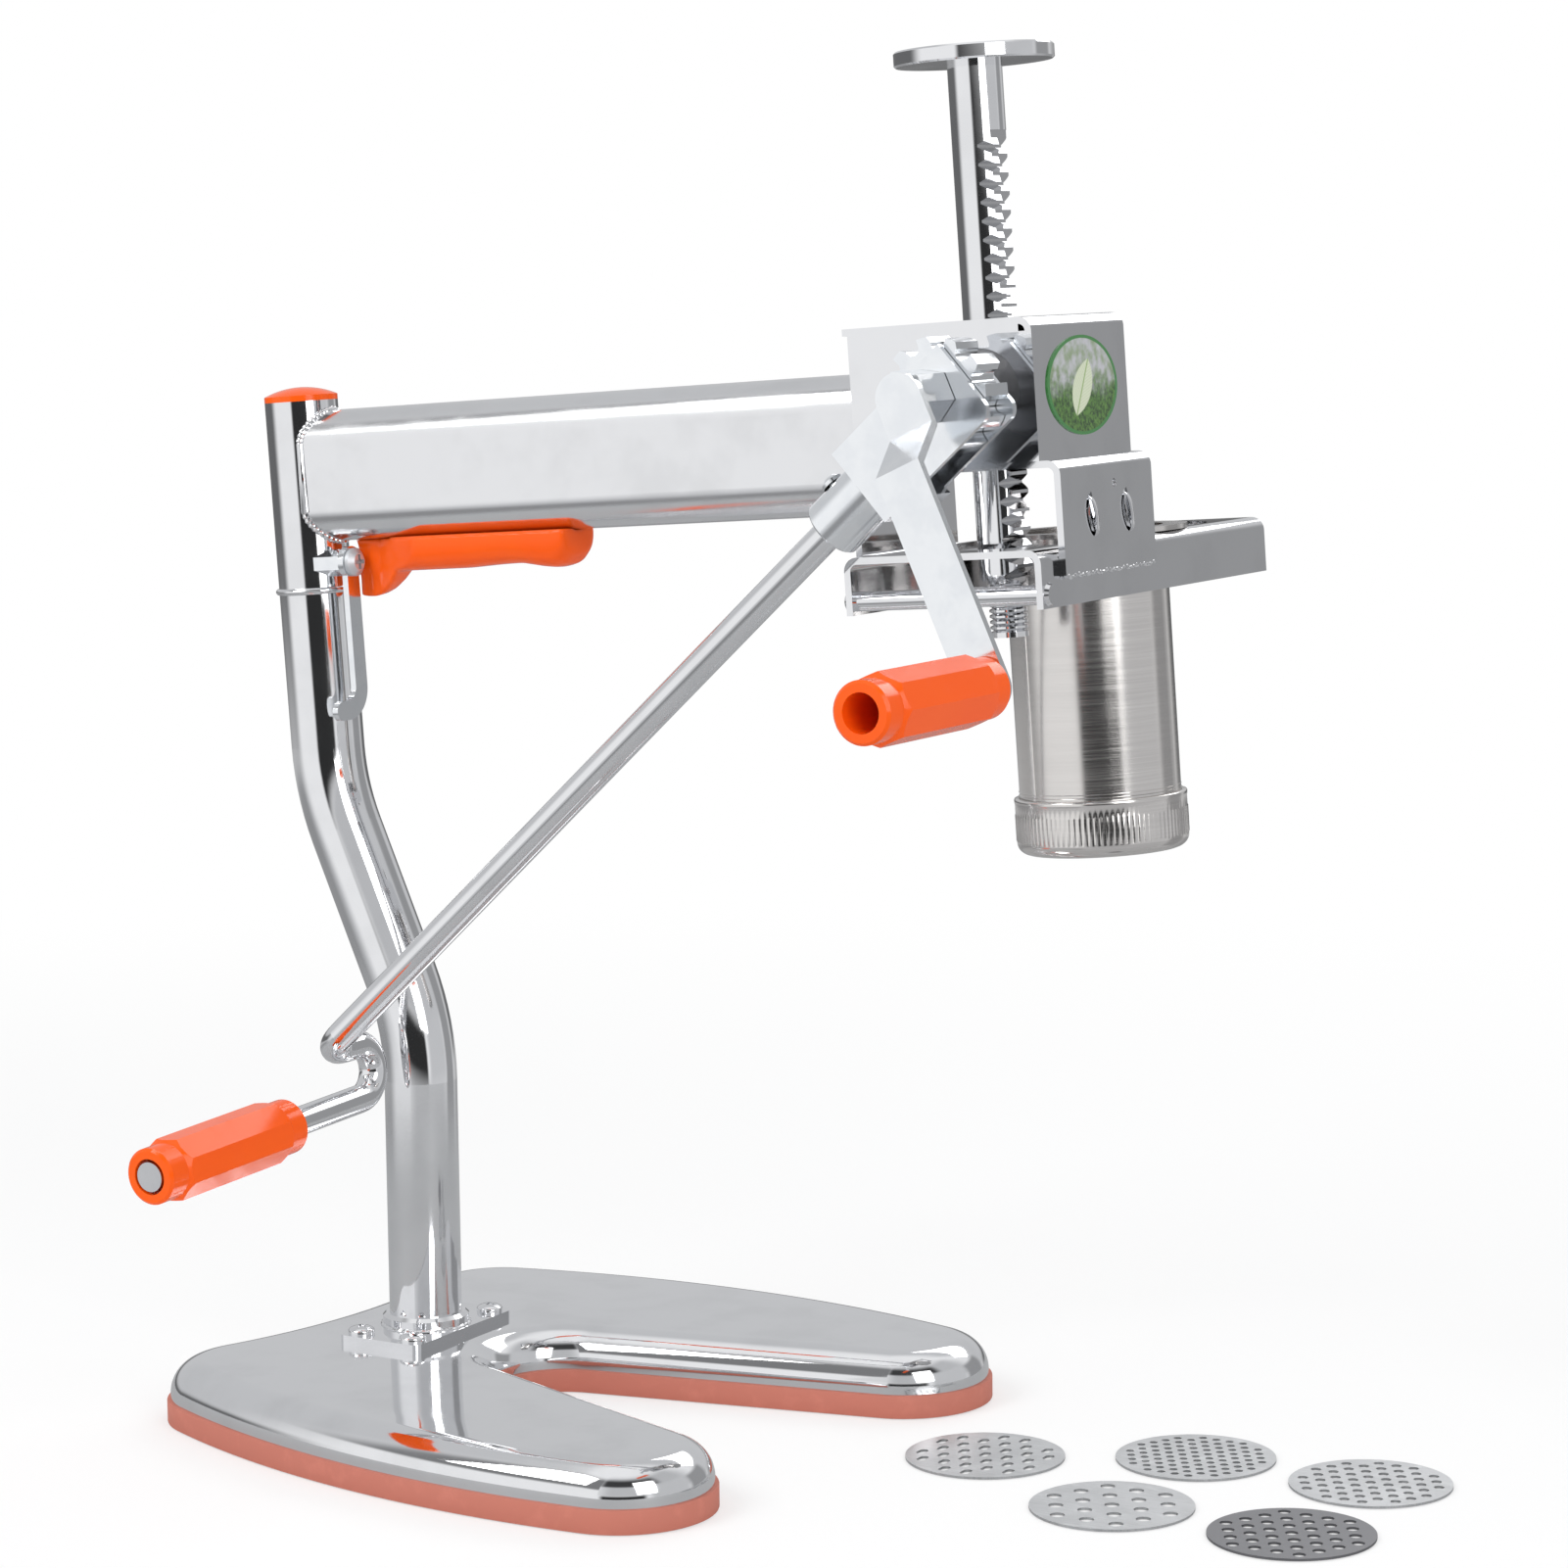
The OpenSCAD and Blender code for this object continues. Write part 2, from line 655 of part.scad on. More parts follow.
module flange_screws() {
    nut_h = screw_d * 0.8;
    clamp = flange_t + plate_t;
    color("gainsboro") translate(col_pos + [0, 0, base_h + flange_t]) flange_places() {
        pan_screw(screw_d, clamp + 1.4 * nut_h, screw_head_d, screw_head_h);
        translate([0, 0, -clamp - nut_h]) cylinder(d = screw_d * 2, h = nut_h, $fn = 6);
    }
}

// Column

// Solid bar along the column's axis, longer than the column by more at both ends
module column_bar(d, more) {
    translate(col_pos + [0, 0, base_h - more + bend_lap])
        bar_run(low_run + more - bend_lap, d)
        bar_bend(col_bend_r, mid_lean, d)
        bar_run(mid_run, d)
        bar_bend(col_bend_r, -high_turn, d)
        bar_run(up_run + more - bend_lap, d);
}

module column() {
    color("silver") difference() {
        column_bar(col_d, 0);
        column_bar(col_d - 2 * col_wall, over);
    }
}

module column_seam() {
    color("gainsboro") head() translate([0, 0, -seam_drop]) rotate_extrude() difference() {
        translate([col_d / 2, 0]) circle(d = seam_bead);
        translate([0, -seam_bead]) square([col_d / 2, 2 * seam_bead]);
    }
}

module column_cap() {
    plug_d = col_d - 2 * col_wall;
    rim = cap_dome_h * 0.4;
    dome_h = cap_dome_h - rim;
    dome_r = (pow(col_d / 2, 2) + dome_h * dome_h) / (2 * dome_h);
    color("orangered") head() {
        cylinder(d = col_d, h = rim);
        translate([0, 0, rim]) intersection() {
            translate([0, 0, dome_h - dome_r]) sphere(dome_r);
            cylinder(d = col_d, h = dome_h);
        }
        translate([0, 0, -plug_d / 2]) cylinder(d = plug_d, h = plug_d / 2);
    }
}

// Arm

// Flattened tube outline, standing upright
module arm_outline(w, h) {
    square([w, h - w], center = true);
    for (s = [-1, 1]) translate([0, s * (h - w) / 2]) circle(d = w);
}

// Solid of the arm's outside from the column's axis to the box
module arm_solid() {
    translate([0, 0, arm_z]) rotate([90, 0, 90]) linear_extrude(box_x0) arm_outline(arm_w, arm_h);
}

module arm() {
    color("silver") head() difference() {
        arm_solid();
        translate([-over, 0, arm_z]) rotate([90, 0, 90]) linear_extrude(box_x0 + 2 * over)
            arm_outline(arm_w - 2 * arm_wall, arm_h - 2 * arm_wall);
        translate([0, 0, arm_floor - over]) cylinder(d = col_d, h = arm_h + 2 * over);
        translate([yoke_x0, -arm_w, arm_floor - over])
            cube([box_x0 - yoke_x0 + over, 2 * arm_w, box_z0 - arm_floor + over]);
    }
}

// Depth of the grip's body along its length, both as shares
grip_depth_shares = [[0, 1], [0.55, 0.99], [0.68, 0.93], [0.78, 0.91], [0.87, 1.04], [0.93, 1.09],
    [0.97, 1], [1, 0.66]];
// Width of the grip at its ends and at the next sections, as shares
grip_end_shares = [0.7, 0.9, 0.98];

// Straight-line lookup in a table of pairs
function lookup_pair(t, x, i = 0) =
    i >= len(t) - 2 || x <= t[i + 1][0]
        ? t[i][1] + (t[i + 1][1] - t[i][1]) * (min(max(x, t[0][0]), t[i + 1][0]) - t[i][0])
            / (t[i + 1][0] - t[i][0])
        : lookup_pair(t, x, i + 1);

// Depth of the grip at a length x from its column end: a round knob, then the moulded body
function knob_depth(x) =
    abs(x - under_knob_x) < under_knob_r
        ? under_knob_h - under_knob_r + sqrt(pow(under_knob_r, 2) - pow(x - under_knob_x, 2)) : 0;
function grip_depth(x) =
    max(knob_depth(x), under_body_h * lookup_pair(grip_depth_shares, x / under_grip_l));

// Cross-section of the grip: flat sides that round into the bottom
function grip_section(x, depth, w, n) =
    [for (i = [0 : n]) let (c = cos(180 * i / n), s = sin(180 * i / n))
        [x, w / 2 * sign(c) * pow(abs(c), 0.6), under_grip_lap - (under_grip_lap + depth) * pow(s, 0.6)]];

// The grip's front is cut back where the latch hangs
module arm_grip() {
    n = 14;
    steps = 36;
    sections = [for (k = [0 : steps])
        let (x = under_grip_l * (1 - cos(180 * k / steps)) / 2, edge = min(k, steps - k))
        grip_section(x, grip_depth(x), under_grip_w * (edge < 3 ? grip_end_shares[edge] : 1), n)];
    c = n + 1;
    color("orangered") head() difference() {
        translate([col_d / 2 + seam_bead / 2 + miss, 0, arm_floor]) polyhedron(
            points = [for (s = sections) each s],
            faces = concat(
                [[for (i = [n : -1 : 0]) i]],
                [for (k = [0 : steps - 1], i = [0 : n])
                    [k * c + i, k * c + (i + 1) % c, (k + 1) * c + (i + 1) % c, (k + 1) * c + i]],
                [[for (i = [0 : n]) steps * c + i]]
            ));
        arm_solid();
        translate([0, -arm_w, -latch_drop - 2 * under_knob_h]) cube([
            latch_x + hook_t + latch_head_h + 2 * miss,
            arm_w - latch_y + hook_eye_d / 2 + miss,
            2 * under_knob_h + hook_eye_d / 2 + miss
        ]);
    }
}

// Latch

// Outer diameter of the hook's eye
hook_eye_d = latch_screw_d + hook_w;

// Places its children at the latch pivot, with Z along the pivot towards the head
module at_latch(x) {
    translate([x, -latch_y, -latch_drop]) rotate([0, 90, 0]) children();
}

// The column's outside near the latch
module latch_column() {
    translate([0, 0, -latch_drop - latch_head_d]) cylinder(d = col_d, h = 2 * latch_head_d);
}

module latch_spacer() {
    color("gainsboro") head() difference() {
        at_latch(0) cylinder(d = latch_hex / cos(30), h = latch_x - fit, $fn = 6);
        at_latch(0) cylinder(d = latch_screw_d, h = latch_x);
        latch_column();
    }
}

module latch_screw() {
    color("gainsboro") head() difference() {
        at_latch(latch_x + hook_t + fit)
            pan_screw(latch_screw_d, latch_x + hook_t, latch_head_d, latch_head_h);
        latch_column();
    }
}

// Flat J hook that hangs from its eye and curls forward
module latch_hook() {
    color("gainsboro") head() translate([latch_x, -latch_y, -latch_drop]) rotate([90, 0, 90]) difference() {
        union() {
            cylinder(d = hook_eye_d, h = hook_t);
            translate([-hook_w / 2, -hook_l, 0]) cube([hook_w, hook_l, hook_t]);
            translate([-hook_r, -hook_l, 0]) rotate([0, 0, -90]) rotate_extrude(angle = 90)
                translate([hook_r - hook_w / 2, 0]) square([hook_w, hook_t]);
            translate([-hook_r - hook_tip, -hook_l - hook_r - hook_w / 2, 0])
                cube([hook_tip, hook_w, hook_t]);
            translate([-hook_r - hook_tip, -hook_l - hook_r, 0]) cylinder(d = hook_w, h = hook_t);
        }
        translate([0, 0, -over]) cylinder(d = latch_screw_d + 2 * fit, h = hook_t + 2 * over);
    }
}

// Gear box

// Where the box's front wall starts to stand proud of its frame
proud_x = rack_x - box_w * 0.13;
// Diameter of the rear bearing's boss
rear_boss_d = spindle_rear_d + 2 * bearing_t;

// Front, arm-side and rear walls
module gearbox_frame() {
    wall_h = box_h - sheet;
    color("silver") head() difference() {
        union() {
            translate([box_x0, box_y0, box_z0]) cube([box_w - sheet, sheet, wall_h]);
            translate([box_x0, box_y1 - sheet, box_z0]) cube([box_w - sheet, sheet, wall_h]);
            translate([box_x0, box_y0, box_z0]) cube([sheet, box_d, wall_h]);
            translate([proud_x, box_y0, box_z0]) cube([box_x1 - bend_r - proud_x, sheet, box_h]);
        }
        translate([box_x1 - bend_r, box_y0 - over, box_z1 - bend_r])
            cube([bend_r + over, box_d + 2 * over, bend_r + over]);
        at_spindle() rod_y(spindle_port_d, sheet + 2 * over, box_y0 + sheet + over);
        at_spindle() rod_y(rear_boss_d, sheet + 2 * over, box_y1 + over);
    }
}

// Top and outer end of the box, bent from one sheet
module gearbox_cover() {
    color("silver") head() difference() {
        union() {
            translate([box_x0 - cover_lip, box_y0, box_z1 - sheet])
                cube([box_w + cover_lip - bend_r, box_d, sheet]);
            translate([box_x1 - sheet, box_y0, box_z0]) cube([sheet, box_d, box_h - bend_r]);
            translate([box_x1 - bend_r, box_y1, box_z1 - bend_r]) rotate([90, 0, 0])
                linear_extrude(box_d) intersection() {
                    difference() {
                        circle(bend_r);
                        circle(bend_r - sheet);
                    }
                    square(bend_r);
                }
            for (s = [-1, 1])
                translate([box_x1 - sheet, s * tab_pitch / 2 - tab_w / 2, box_z0 - sheet])
                    cube([sheet, tab_w, 2 * sheet]);
        }
        translate([proud_x, box_y0 - over, box_z1 - sheet - over])
            cube([box_x1 - bend_r - proud_x, sheet + over, sheet + 2 * over]);
        translate([rack_x, 0, box_z1 - sheet - over]) cylinder(d = rack_d + 2 * miss, h = sheet + 2 * over);
    }
}

module badge() {
    steps = 60;
    color("darkgreen") head() translate([box_x1, 0, spindle_z]) rotate([90, 0, 90])
        linear_extrude(badge_t) polygon([for (i = [0 : steps - 1])
            [badge_w / 2 * cos(360 * i / steps), badge_h / 2 * sin(360 * i / steps)]]);
}

// Half-open tube inside the box that guides the rack
module rack_guide() {
    color("dimgray") head() translate([rack_x, 0, box_z0]) difference() {
        cylinder(d = rack_d + 2 * sheet, h = box_h - sheet);
        translate([0, 0, -over]) cylinder(d = rack_d + 2 * fit, h = box_h + over);
        translate([rack_root_x, -rack_d, -over]) cube([rack_d, 2 * rack_d, box_h + over]);
    }
}

// Space past the inside of the cover, seen from the spindle: no bearing reaches it
module beyond_cover() {
    translate([box_x1 - sheet - spindle_x - miss, -box_d, -box_h]) cube([box_w, 2 * box_d, 2 * box_h]);
}

module front_bearing() {
    color("dimgray") head() at_spindle() difference() {
        union() {
            rod_y(spindle_port_d + 2 * bearing_t, bearing_t, box_y0 + sheet + bearing_t);
            rod_y(spindle_port_d, bearing_t, box_y0 + sheet / 2 + bearing_t);
        }
        rod_y(spindle_d + 2 * fit, box_d, 0);
        beyond_cover();
    }
}

module rear_bearing() {
    color("dimgray") head() at_spindle() difference() {
        union() {
            rod_y(rear_boss_d + 2 * bearing_t, bearing_t, box_y1 - sheet);
            rod_y(rear_boss_d, bearing_t, box_y1);
        }
        rod_y(spindle_rear_d + 2 * fit, box_d, box_y1 + over);
        beyond_cover();
    }
}

// Spindle

pinion_l = rack_d;
clip_t = clip_d * 0.08;
clip_y = box_y1 + miss + clip_t;
clip_groove_d = spindle_rear_d - 2 * clip_t;

// Half angle of a pinion tooth at radius r
function tooth_half_angle(r) =
    let (a = acos(min(1, pinion_base_r / r)))
    90 / pinion_n - gear_lash / 4 / pinion_r * 180 / PI + involute_alpha - (tan(a) * 180 / PI - a);

// Flank of a tooth from the root circle to the tip, as [radius, half angle]
flank_points = [for (i = [-1 : 5])
    let (r = i < 0 ? pinion_root_r : pinion_base_r + (pinion_tip_r - pinion_base_r) * i / 5)
    [r, tooth_half_angle(max(r, pinion_base_r))]];

// Involute pinion whose first tooth points to the rack
module pinion_outline() {
    n = len(flank_points);
    polygon([for (k = [0 : pinion_n - 1], i = [0 : 2 * n - 1])
        let (f = flank_points[i < n ? i : 2 * n - 1 - i], s = i < n ? -1 : 1,
            a = 180 + 360 * k / pinion_n + s * f[1])
        f[0] * [cos(a), sin(a)]]);
}

module spindle() {
    tail = clip_t * 1.5;
    color("gray") head() at_spindle() difference() {
        union() {
            rod_y(spindle_rear_d, clip_y + tail, clip_y + tail);
            translate([0, pinion_l / 2, 0]) rotate([90, 0, 0]) linear_extrude(pinion_l) pinion_outline();
            rod_y(spindle_d, -pinion_l / 2 - nut_y - fork_play, -pinion_l / 2);
            rod_y(spindle_rear_d, nut_l * 0.75 + fork_play, nut_y + fork_play);
        }
        difference() {
            rod_y(spindle_rear_d + over, clip_t, clip_y);
            rod_y(clip_groove_d, clip_t, clip_y);
        }
    }
}

// Snap ring in the spindle's groove
module spindle_clip() {
    color("gainsboro") head() at_spindle() difference() {
        rod_y(clip_d, clip_t, clip_y);
        rod_y(clip_groove_d, clip_t + 2 * over, clip_y + over);
        translate([-clip_t, clip_y - clip_t - over, 0]) cube([2 * clip_t, clip_t + 2 * over, clip_d]);
    }
}

module ratchet_wheel() {
    gullet_r = wheel_tooth * 0.55;
    gullet_pos = wheel_d / 2 - wheel_tooth + gullet_r;
    color("gainsboro") head() at_spindle() translate([0, wheel_y, 0]) rotate([90, 0, 0])
        linear_extrude(wheel_t) difference() {
            circle(d = wheel_d);
            circle(d = spindle_d);
            for (k = [0 : wheel_n - 1]) rotate(360 * (k + 0.5) / wheel_n) {
                translate([gullet_pos, 0]) circle(gullet_r);
                polygon([[gullet_pos, -gullet_r], [wheel_d / 2 + over, -gullet_r * 1.2],
                    [wheel_d / 2 + over, gullet_r * 2.4], [gullet_pos, gullet_r]]);
            }
        }
}

// Crank

// Places its children at the spindle with X along the crank
module at_crank() {
    at_spindle() rotate([0, 90 - crank_angle, 0]) children();
}

module crank_nut() {
    color("gainsboro") head() at_crank() translate([0, nut_y, 0]) rotate([90, 0, 0]) difference() {
        cylinder(d = nut_af / cos(30), h = nut_l, $fn = 6);
        translate([0, 0, -over]) cylinder(d = spindle_rear_d, h = over + nut_l * 0.75);
    }
}

// Side view of the crank strip: flat, forward step, flat
module crank_side() {
    l = crank_l + crank_w;
    step = crank_flat + crank_run;
    slant = crank_t * tan(atan2(crank_step, crank_run) / 2);
    polygon([[-crank_w, 0], [crank_flat, 0], [step, -crank_step], [l, -crank_step],
        [l, -crank_step - crank_t], [step - slant, -crank_step - crank_t],
        [crank_flat - slant, -crank_t], [-crank_w, -crank_t]]);
}

module crank_arm() {
    color("gainsboro") head() at_crank() difference() {
        intersection() {
            translate([0, crank_y, -crank_w / 2]) linear_extrude(crank_w) crank_side();
            rotate([90, 0, 0]) linear_extrude(-crank_y + 2 * crank_step) {
                circle(d = crank_w);
                translate([0, -crank_w / 2]) square([crank_l, crank_w]);
                translate([crank_l, 0]) circle(d = crank_w);
            }
        }
        translate([crank_l, 0, 0]) rod_y(grip_pin_d, crank_t + 2 * over, crank_rear_y + over);
    }
}

// Rear face of the crank strip's outer part, and the space the grip needs on its pin
crank_rear_y = crank_y - crank_step;
grip_start_y = crank_rear_y - crank_t - miss;

module crank_pin() {
    head_y = grip_start_y - (grip_l - grip_bore_l) - miss;
    rivet_t = grip_head_t / 2;
    color("gainsboro") head() at_crank() translate([crank_l, 0, 0]) {
        rod_y(1.5 * grip_pin_d, rivet_t, crank_rear_y + rivet_t);
        rod_y(grip_pin_d, crank_rear_y - head_y, crank_rear_y);
        rod_y(1.5 * grip_pin_d, grip_head_t, head_y);
    }
}

// Turning grip along Z: plain ends and a raised eight-sided middle
module grip_body() {
    mid_d = grip_mid_af / cos(22.5);
    wide_d = mid_d + miss;
    chamfer = grip_end_l / 3;
    mid_l = grip_l - 2 * grip_end_l - 2 * chamfer;
    edge = chamfer / 3;
    low_d = grip_end_d * 0.96;
    cylinder(d1 = grip_end_d - 2 * edge, d2 = grip_end_d, h = edge);
    translate([0, 0, edge]) cylinder(d = grip_end_d, h = grip_l - 2 * edge);
    translate([0, 0, grip_l - edge]) cylinder(d1 = grip_end_d, d2 = grip_end_d - 2 * edge, h = edge);
    translate([0, 0, grip_end_l]) intersection() {
        rotate([0, 0, 22.5]) cylinder(d = mid_d, h = grip_l - 2 * grip_end_l, $fn = 8);
        union() {
            cylinder(d1 = low_d, d2 = wide_d, h = chamfer);
            translate([0, 0, chamfer]) cylinder(d = wide_d, h = mid_l);
            translate([0, 0, chamfer + mid_l]) cylinder(d1 = wide_d, d2 = low_d, h = chamfer);
        }
    }
}

module crank_grip() {
    color("orangered") head() at_crank() translate([crank_l, grip_start_y, 0]) rotate([90, 0, 0])
        difference() {
            grip_body();
            translate([0, 0, -over]) cylinder(d = grip_pin_d + 2 * fit, h = grip_l);
            translate([0, 0, grip_l - grip_bore_l]) cylinder(d = grip_bore, h = grip_l);
        }
}

// Ratchet lever

// Places its children at the spindle with X along the lever and Z below it
module at_lever() {
    at_spindle() rotate([0, 180 - lever_angle, 0]) children();
}

// Side view of a fork plate: X along the lever, Y above it
module fork_plate() {
    l = fork_back + fork_reach;
    h = fork_up + fork_down;
    translate([-fork_back, -fork_down]) difference() {
        union() {
            translate([0, fork_corner_r]) square([l, h - fork_corner_r]);
            translate([fork_corner_r, 0]) square([l - fork_corner_r, h]);
            translate([fork_corner_r, fork_corner_r]) circle(fork_corner_r);
        }
        translate([fork_back, fork_down]) circle(d = spindle_d + 2 * fit);
        translate([fork_back + pawl_u, fork_down - pawl_w]) circle(d = pawl_pin_d);
    }
}

// Two plates and their web, bent from one strip
module lever_fork() {
    color("gainsboro") head() at_lever() {
        for (y = [fork_rear_y - fork_t, fork_front_y - fork_t])
            translate([0, y, 0]) rotate([-90, 0, 0]) linear_extrude(fork_t) fork_plate();
        translate([fork_reach - fork_t, fork_front_y - fork_t, -fork_up])
            cube([fork_t, fork_rear_y - fork_front_y + fork_t, fork_up + fork_down]);
    }
}

// Places its children on the rod's axis at the web, with Z along the rod and X above the lever
module at_rod() {
    at_lever() translate([fork_reach, lever_y, fork_offset]) rotate([0, 90, 0]) children();
}

module rod_socket() {
    rim = socket_d * 0.04;
    color("lightgray") head() at_rod() difference() {
        union() {
            cylinder(d = socket_d, h = socket_l - rim);
            translate([0, 0, socket_l - rim]) cylinder(d1 = socket_d, d2 = socket_d - 2 * rim, h = rim);
        }
        translate([0, 0, -over]) cylinder(d = rod_d, h = socket_l + 2 * over);
        translate([0, 0, socket_l / 2]) rotate([0, 90, 0]) cylinder(d = screw_d, h = socket_d);
    }
}

module socket_screw() {
    color("gainsboro") head() at_rod() difference() {
        translate([socket_d / 2, 0, socket_l / 2]) rotate([0, 90, 0])
            pan_screw(screw_d, (socket_d - rod_d) / 2 + over, screw_head_d, screw_head_h);
        cylinder(d = rod_d, h = socket_l);
    }
}

module lever_rod() {
    run = rod_reach - fork_reach - rod_bend_r;
    handle_l = rod_neck + grip_l;
    color("silver") head() at_rod() translate([0, 0, bend_lap])
        bar_run(run - bend_lap, rod_d)
        rotate([0, 0, -90]) bar_bend(rod_bend_r, 90, rod_d)
        bar_run(rod_step - rod_bend_r, rod_d)
        rotate([0, 0, 90 + lever_angle]) bar_bend(rod_turn_r, 180 - rod_droop, rod_d) {
            cylinder(d = rod_d, h = handle_l);
            translate([0, 0, handle_l - rod_recess + miss])
                cylinder(d = grip_bore - 2 * miss, h = grip_head_t);
        }
}

// Follows the rod's bends to the start of the handle's grip, with Z along the handle
module at_handle() {
    turn = 180 - rod_droop;
    at_rod() translate([0, rod_step, rod_reach - fork_reach]) rotate([0, 0, -90]) rotate([0, -90, 0])
        rotate([0, 0, 90 + lever_angle])
        translate([-rod_turn_r * (1 - cos(turn)), 0, rod_turn_r * sin(turn)])
        rotate([0, -turn, 0]) translate([0, 0, rod_neck]) children();
}

module lever_grip() {
    color("orangered") head() at_handle() difference() {
        grip_body();
        translate([0, 0, -over]) cylinder(d = rod_d + 2 * fit, h = grip_l + 2 * over);
        translate([0, 0, grip_l - rod_recess]) cylinder(d = grip_bore, h = grip_l);
    }
}

// Places its children on the pawl's pin, with X towards the web and Z below the lever
module at_pawl() {
    at_lever() translate([pawl_u, 0, pawl_w]) children();
}

module pawl_pin() {
    head_t = pawl_pin_d / 5;
    span = fork_rear_y - fork_front_y + fork_t;
    color("gainsboro") head() at_pawl() {
        rod_y(1.5 * pawl_pin_d, head_t, fork_rear_y + head_t);
        rod_y(pawl_pin_d, span, fork_rear_y);
        rod_y(1.5 * pawl_pin_d, head_t, fork_rear_y - span);
    }
}

// Pawl with a blunt nose beside the wheel and a bent thumb tab
module pawl() {
    eye_r = pawl_pin_d * 1.1;
    nose = pawl_u - sqrt(pow(wheel_d / 2 + pawl_gap, 2) - pow(pawl_w + eye_r / 3, 2));
    tab = fork_down - pawl_w + pawl_tab;
    color("gainsboro") head() at_pawl() translate([0, lever_y - pawl_t / 2, 0]) rotate([-90, 0, 0])
        linear_extrude(pawl_t) difference() {
            union() {
                circle(eye_r);
                polygon([[0, eye_r], [-nose + eye_r / 4, eye_r / 6], [-nose, -eye_r / 3],
                    [-nose + eye_r / 3, -eye_r * 0.8], [0, -eye_r]]);
                polygon([[-eye_r, 0], [-eye_r * 1.5, -tab], [-eye_r * 0.6, -tab], [eye_r * 0.4, -eye_r * 0.9]]);
            }
            circle(d = pawl_pin_d + 2 * fit);
        }
}

// Rack

rack_tooth_top = rack_top - rack_neck;
space_first = ceil((rack_foot - spindle_z) / gear_pitch);
space_last = floor((rack_tooth_top - gear_pitch / 2 - spindle_z) / gear_pitch);

// Side view of one tooth space, centred on the pitch line
module rack_space() {
    half = gear_pitch / 4 + gear_lash / 4;
    inner = half - gear_ded * tan(gear_alpha);
    outer = half + (gear_add + over) * tan(gear_alpha);
    polygon([[-gear_ded, -inner], [gear_add + over, -outer], [gear_add + over, outer], [-gear_ded, inner]]);
}

module rack() {
    groove = rack_thread_d * 0.09;
    thread_r = rack_thread_d / 2;
    thread_pitch = rack_thread_d / 7;
    color("silver") head() translate([rack_x, 0, 0]) difference() {
        union() {
            translate([0, 0, rack_foot]) cylinder(d = rack_d, h = rack_top - rack_foot);
            translate([0, 0, rack_foot - rack_thread_l]) cylinder(r = thread_r, h = rack_thread_l);
            translate([0, 0, rack_top]) cylinder(r = thread_r, h = disc_t);
        }
        translate([rack_flat, -rack_d, rack_foot - over])
            cube([rack_d, 2 * rack_d, rack_tooth_top - rack_foot + over]);
        for (k = [space_first : space_last])
            translate([rack_pitch_x, rack_d / 2, spindle_z + k * gear_pitch]) rotate([90, 0, 0])
                linear_extrude(rack_d) rack_space();
        for (k = [1 : rack_thread_l / thread_pitch - 1])
            translate([0, 0, rack_foot - k * thread_pitch]) rotate_extrude()
                polygon([[thread_r - groove, 0], [thread_r + groove, -groove], [thread_r + groove, groove]]);
    }
}

module press_disc() {
    edge = disc_t * 0.12;
    color("silver") head() translate([rack_x, 0, rack_top]) difference() {
        union() {
            cylinder(d1 = disc_d - 2 * edge, d2 = disc_d, h = edge);
            translate([0, 0, edge]) cylinder(d = disc_d, h = disc_t - 2 * edge);
            translate([0, 0, disc_t - edge]) cylinder(d1 = disc_d, d2 = disc_d - 2 * edge, h = edge);
        }
        translate([0, 0, -over]) cylinder(d = rack_thread_d, h = disc_t + 2 * over);
    }
}

// Yoke and tray

module yoke() {
    rear = yoke_set + yoke_l / 2;
    louvre_z = yoke_z1 - yoke_h * 0.48;
    louvre_y = yoke_set + yoke_l * 0.03;
    color("silver") head() difference() {
        translate([rack_x, rear, yoke_z1]) rotate([90, 0, 0]) linear_extrude(yoke_l)
            channel(yoke_w, yoke_h, sheet, bend_r);
        translate([rack_x, 0, yoke_z1 - sheet - over]) cylinder(d = rack_d + 2 * miss, h = sheet + 2 * over);
        for (s = [-1, 1]) {
            translate([box_x1 - sheet, s * tab_pitch / 2 - tab_w / 2, yoke_z1 - sheet - over])
                cube([sheet, tab_w, sheet + 2 * over]);
            translate([yoke_x1 - sheet / 2, louvre_y + s * louvre_pitch / 2, louvre_z])
                rotate([louvre_slant, 0, 0]) cube([2 * sheet, louvre_w, louvre_l], center = true);
        }
        translate([yoke_x1 - sheet - over, louvre_y + louvre_w, yoke_z1 - yoke_h / 4]) rotate([0, 90, 0])
            cylinder(d = louvre_w, h = sheet + 2 * over);
    }
}

module tray() {
    rear = tray_l - tray_front;
    hole_r = barrel_d / 2 + barrel_gap;
    color("silver") head() translate([rack_x, 0, tray_top]) difference() {
        translate([0, rear, 0]) rotate([90, 0, 0]) linear_extrude(tray_l)
            channel(tray_w, tray_h, sheet, bend_r);
        translate([0, 0, -sheet - over]) linear_extrude(sheet + 2 * over) {
            circle(hole_r);
            translate([-hole_r, 0]) square([2 * hole_r, slot_travel]);
            translate([0, slot_travel]) circle(hole_r);
        }
        translate([-tray_w, -tray_front + stop_rod_in, -tray_h + stop_rod_d / 2 + sheet / 2])
            rotate([0, 90, 0]) cylinder(d = stop_rod_d, h = 2 * tray_w);
    }
}

// Rod across the tray's front, peened over at both ends
module stop_rod() {
    peen_t = sheet * 0.6;
    l = tray_w + 2 * peen_t;
    color("gainsboro") head()
        translate([rack_x - l / 2, -tray_front + stop_rod_in, tray_top - tray_h + stop_rod_d / 2 + sheet / 2])
        rotate([0, 90, 0]) {
            cylinder(d = stop_rod_d, h = l);
            cylinder(d1 = stop_rod_d, d2 = stop_rod_d + sheet / 2, h = peen_t);
            translate([0, 0, l - peen_t]) cylinder(d1 = stop_rod_d + sheet / 2, d2 = stop_rod_d, h = peen_t);
        }
}

// Barrel

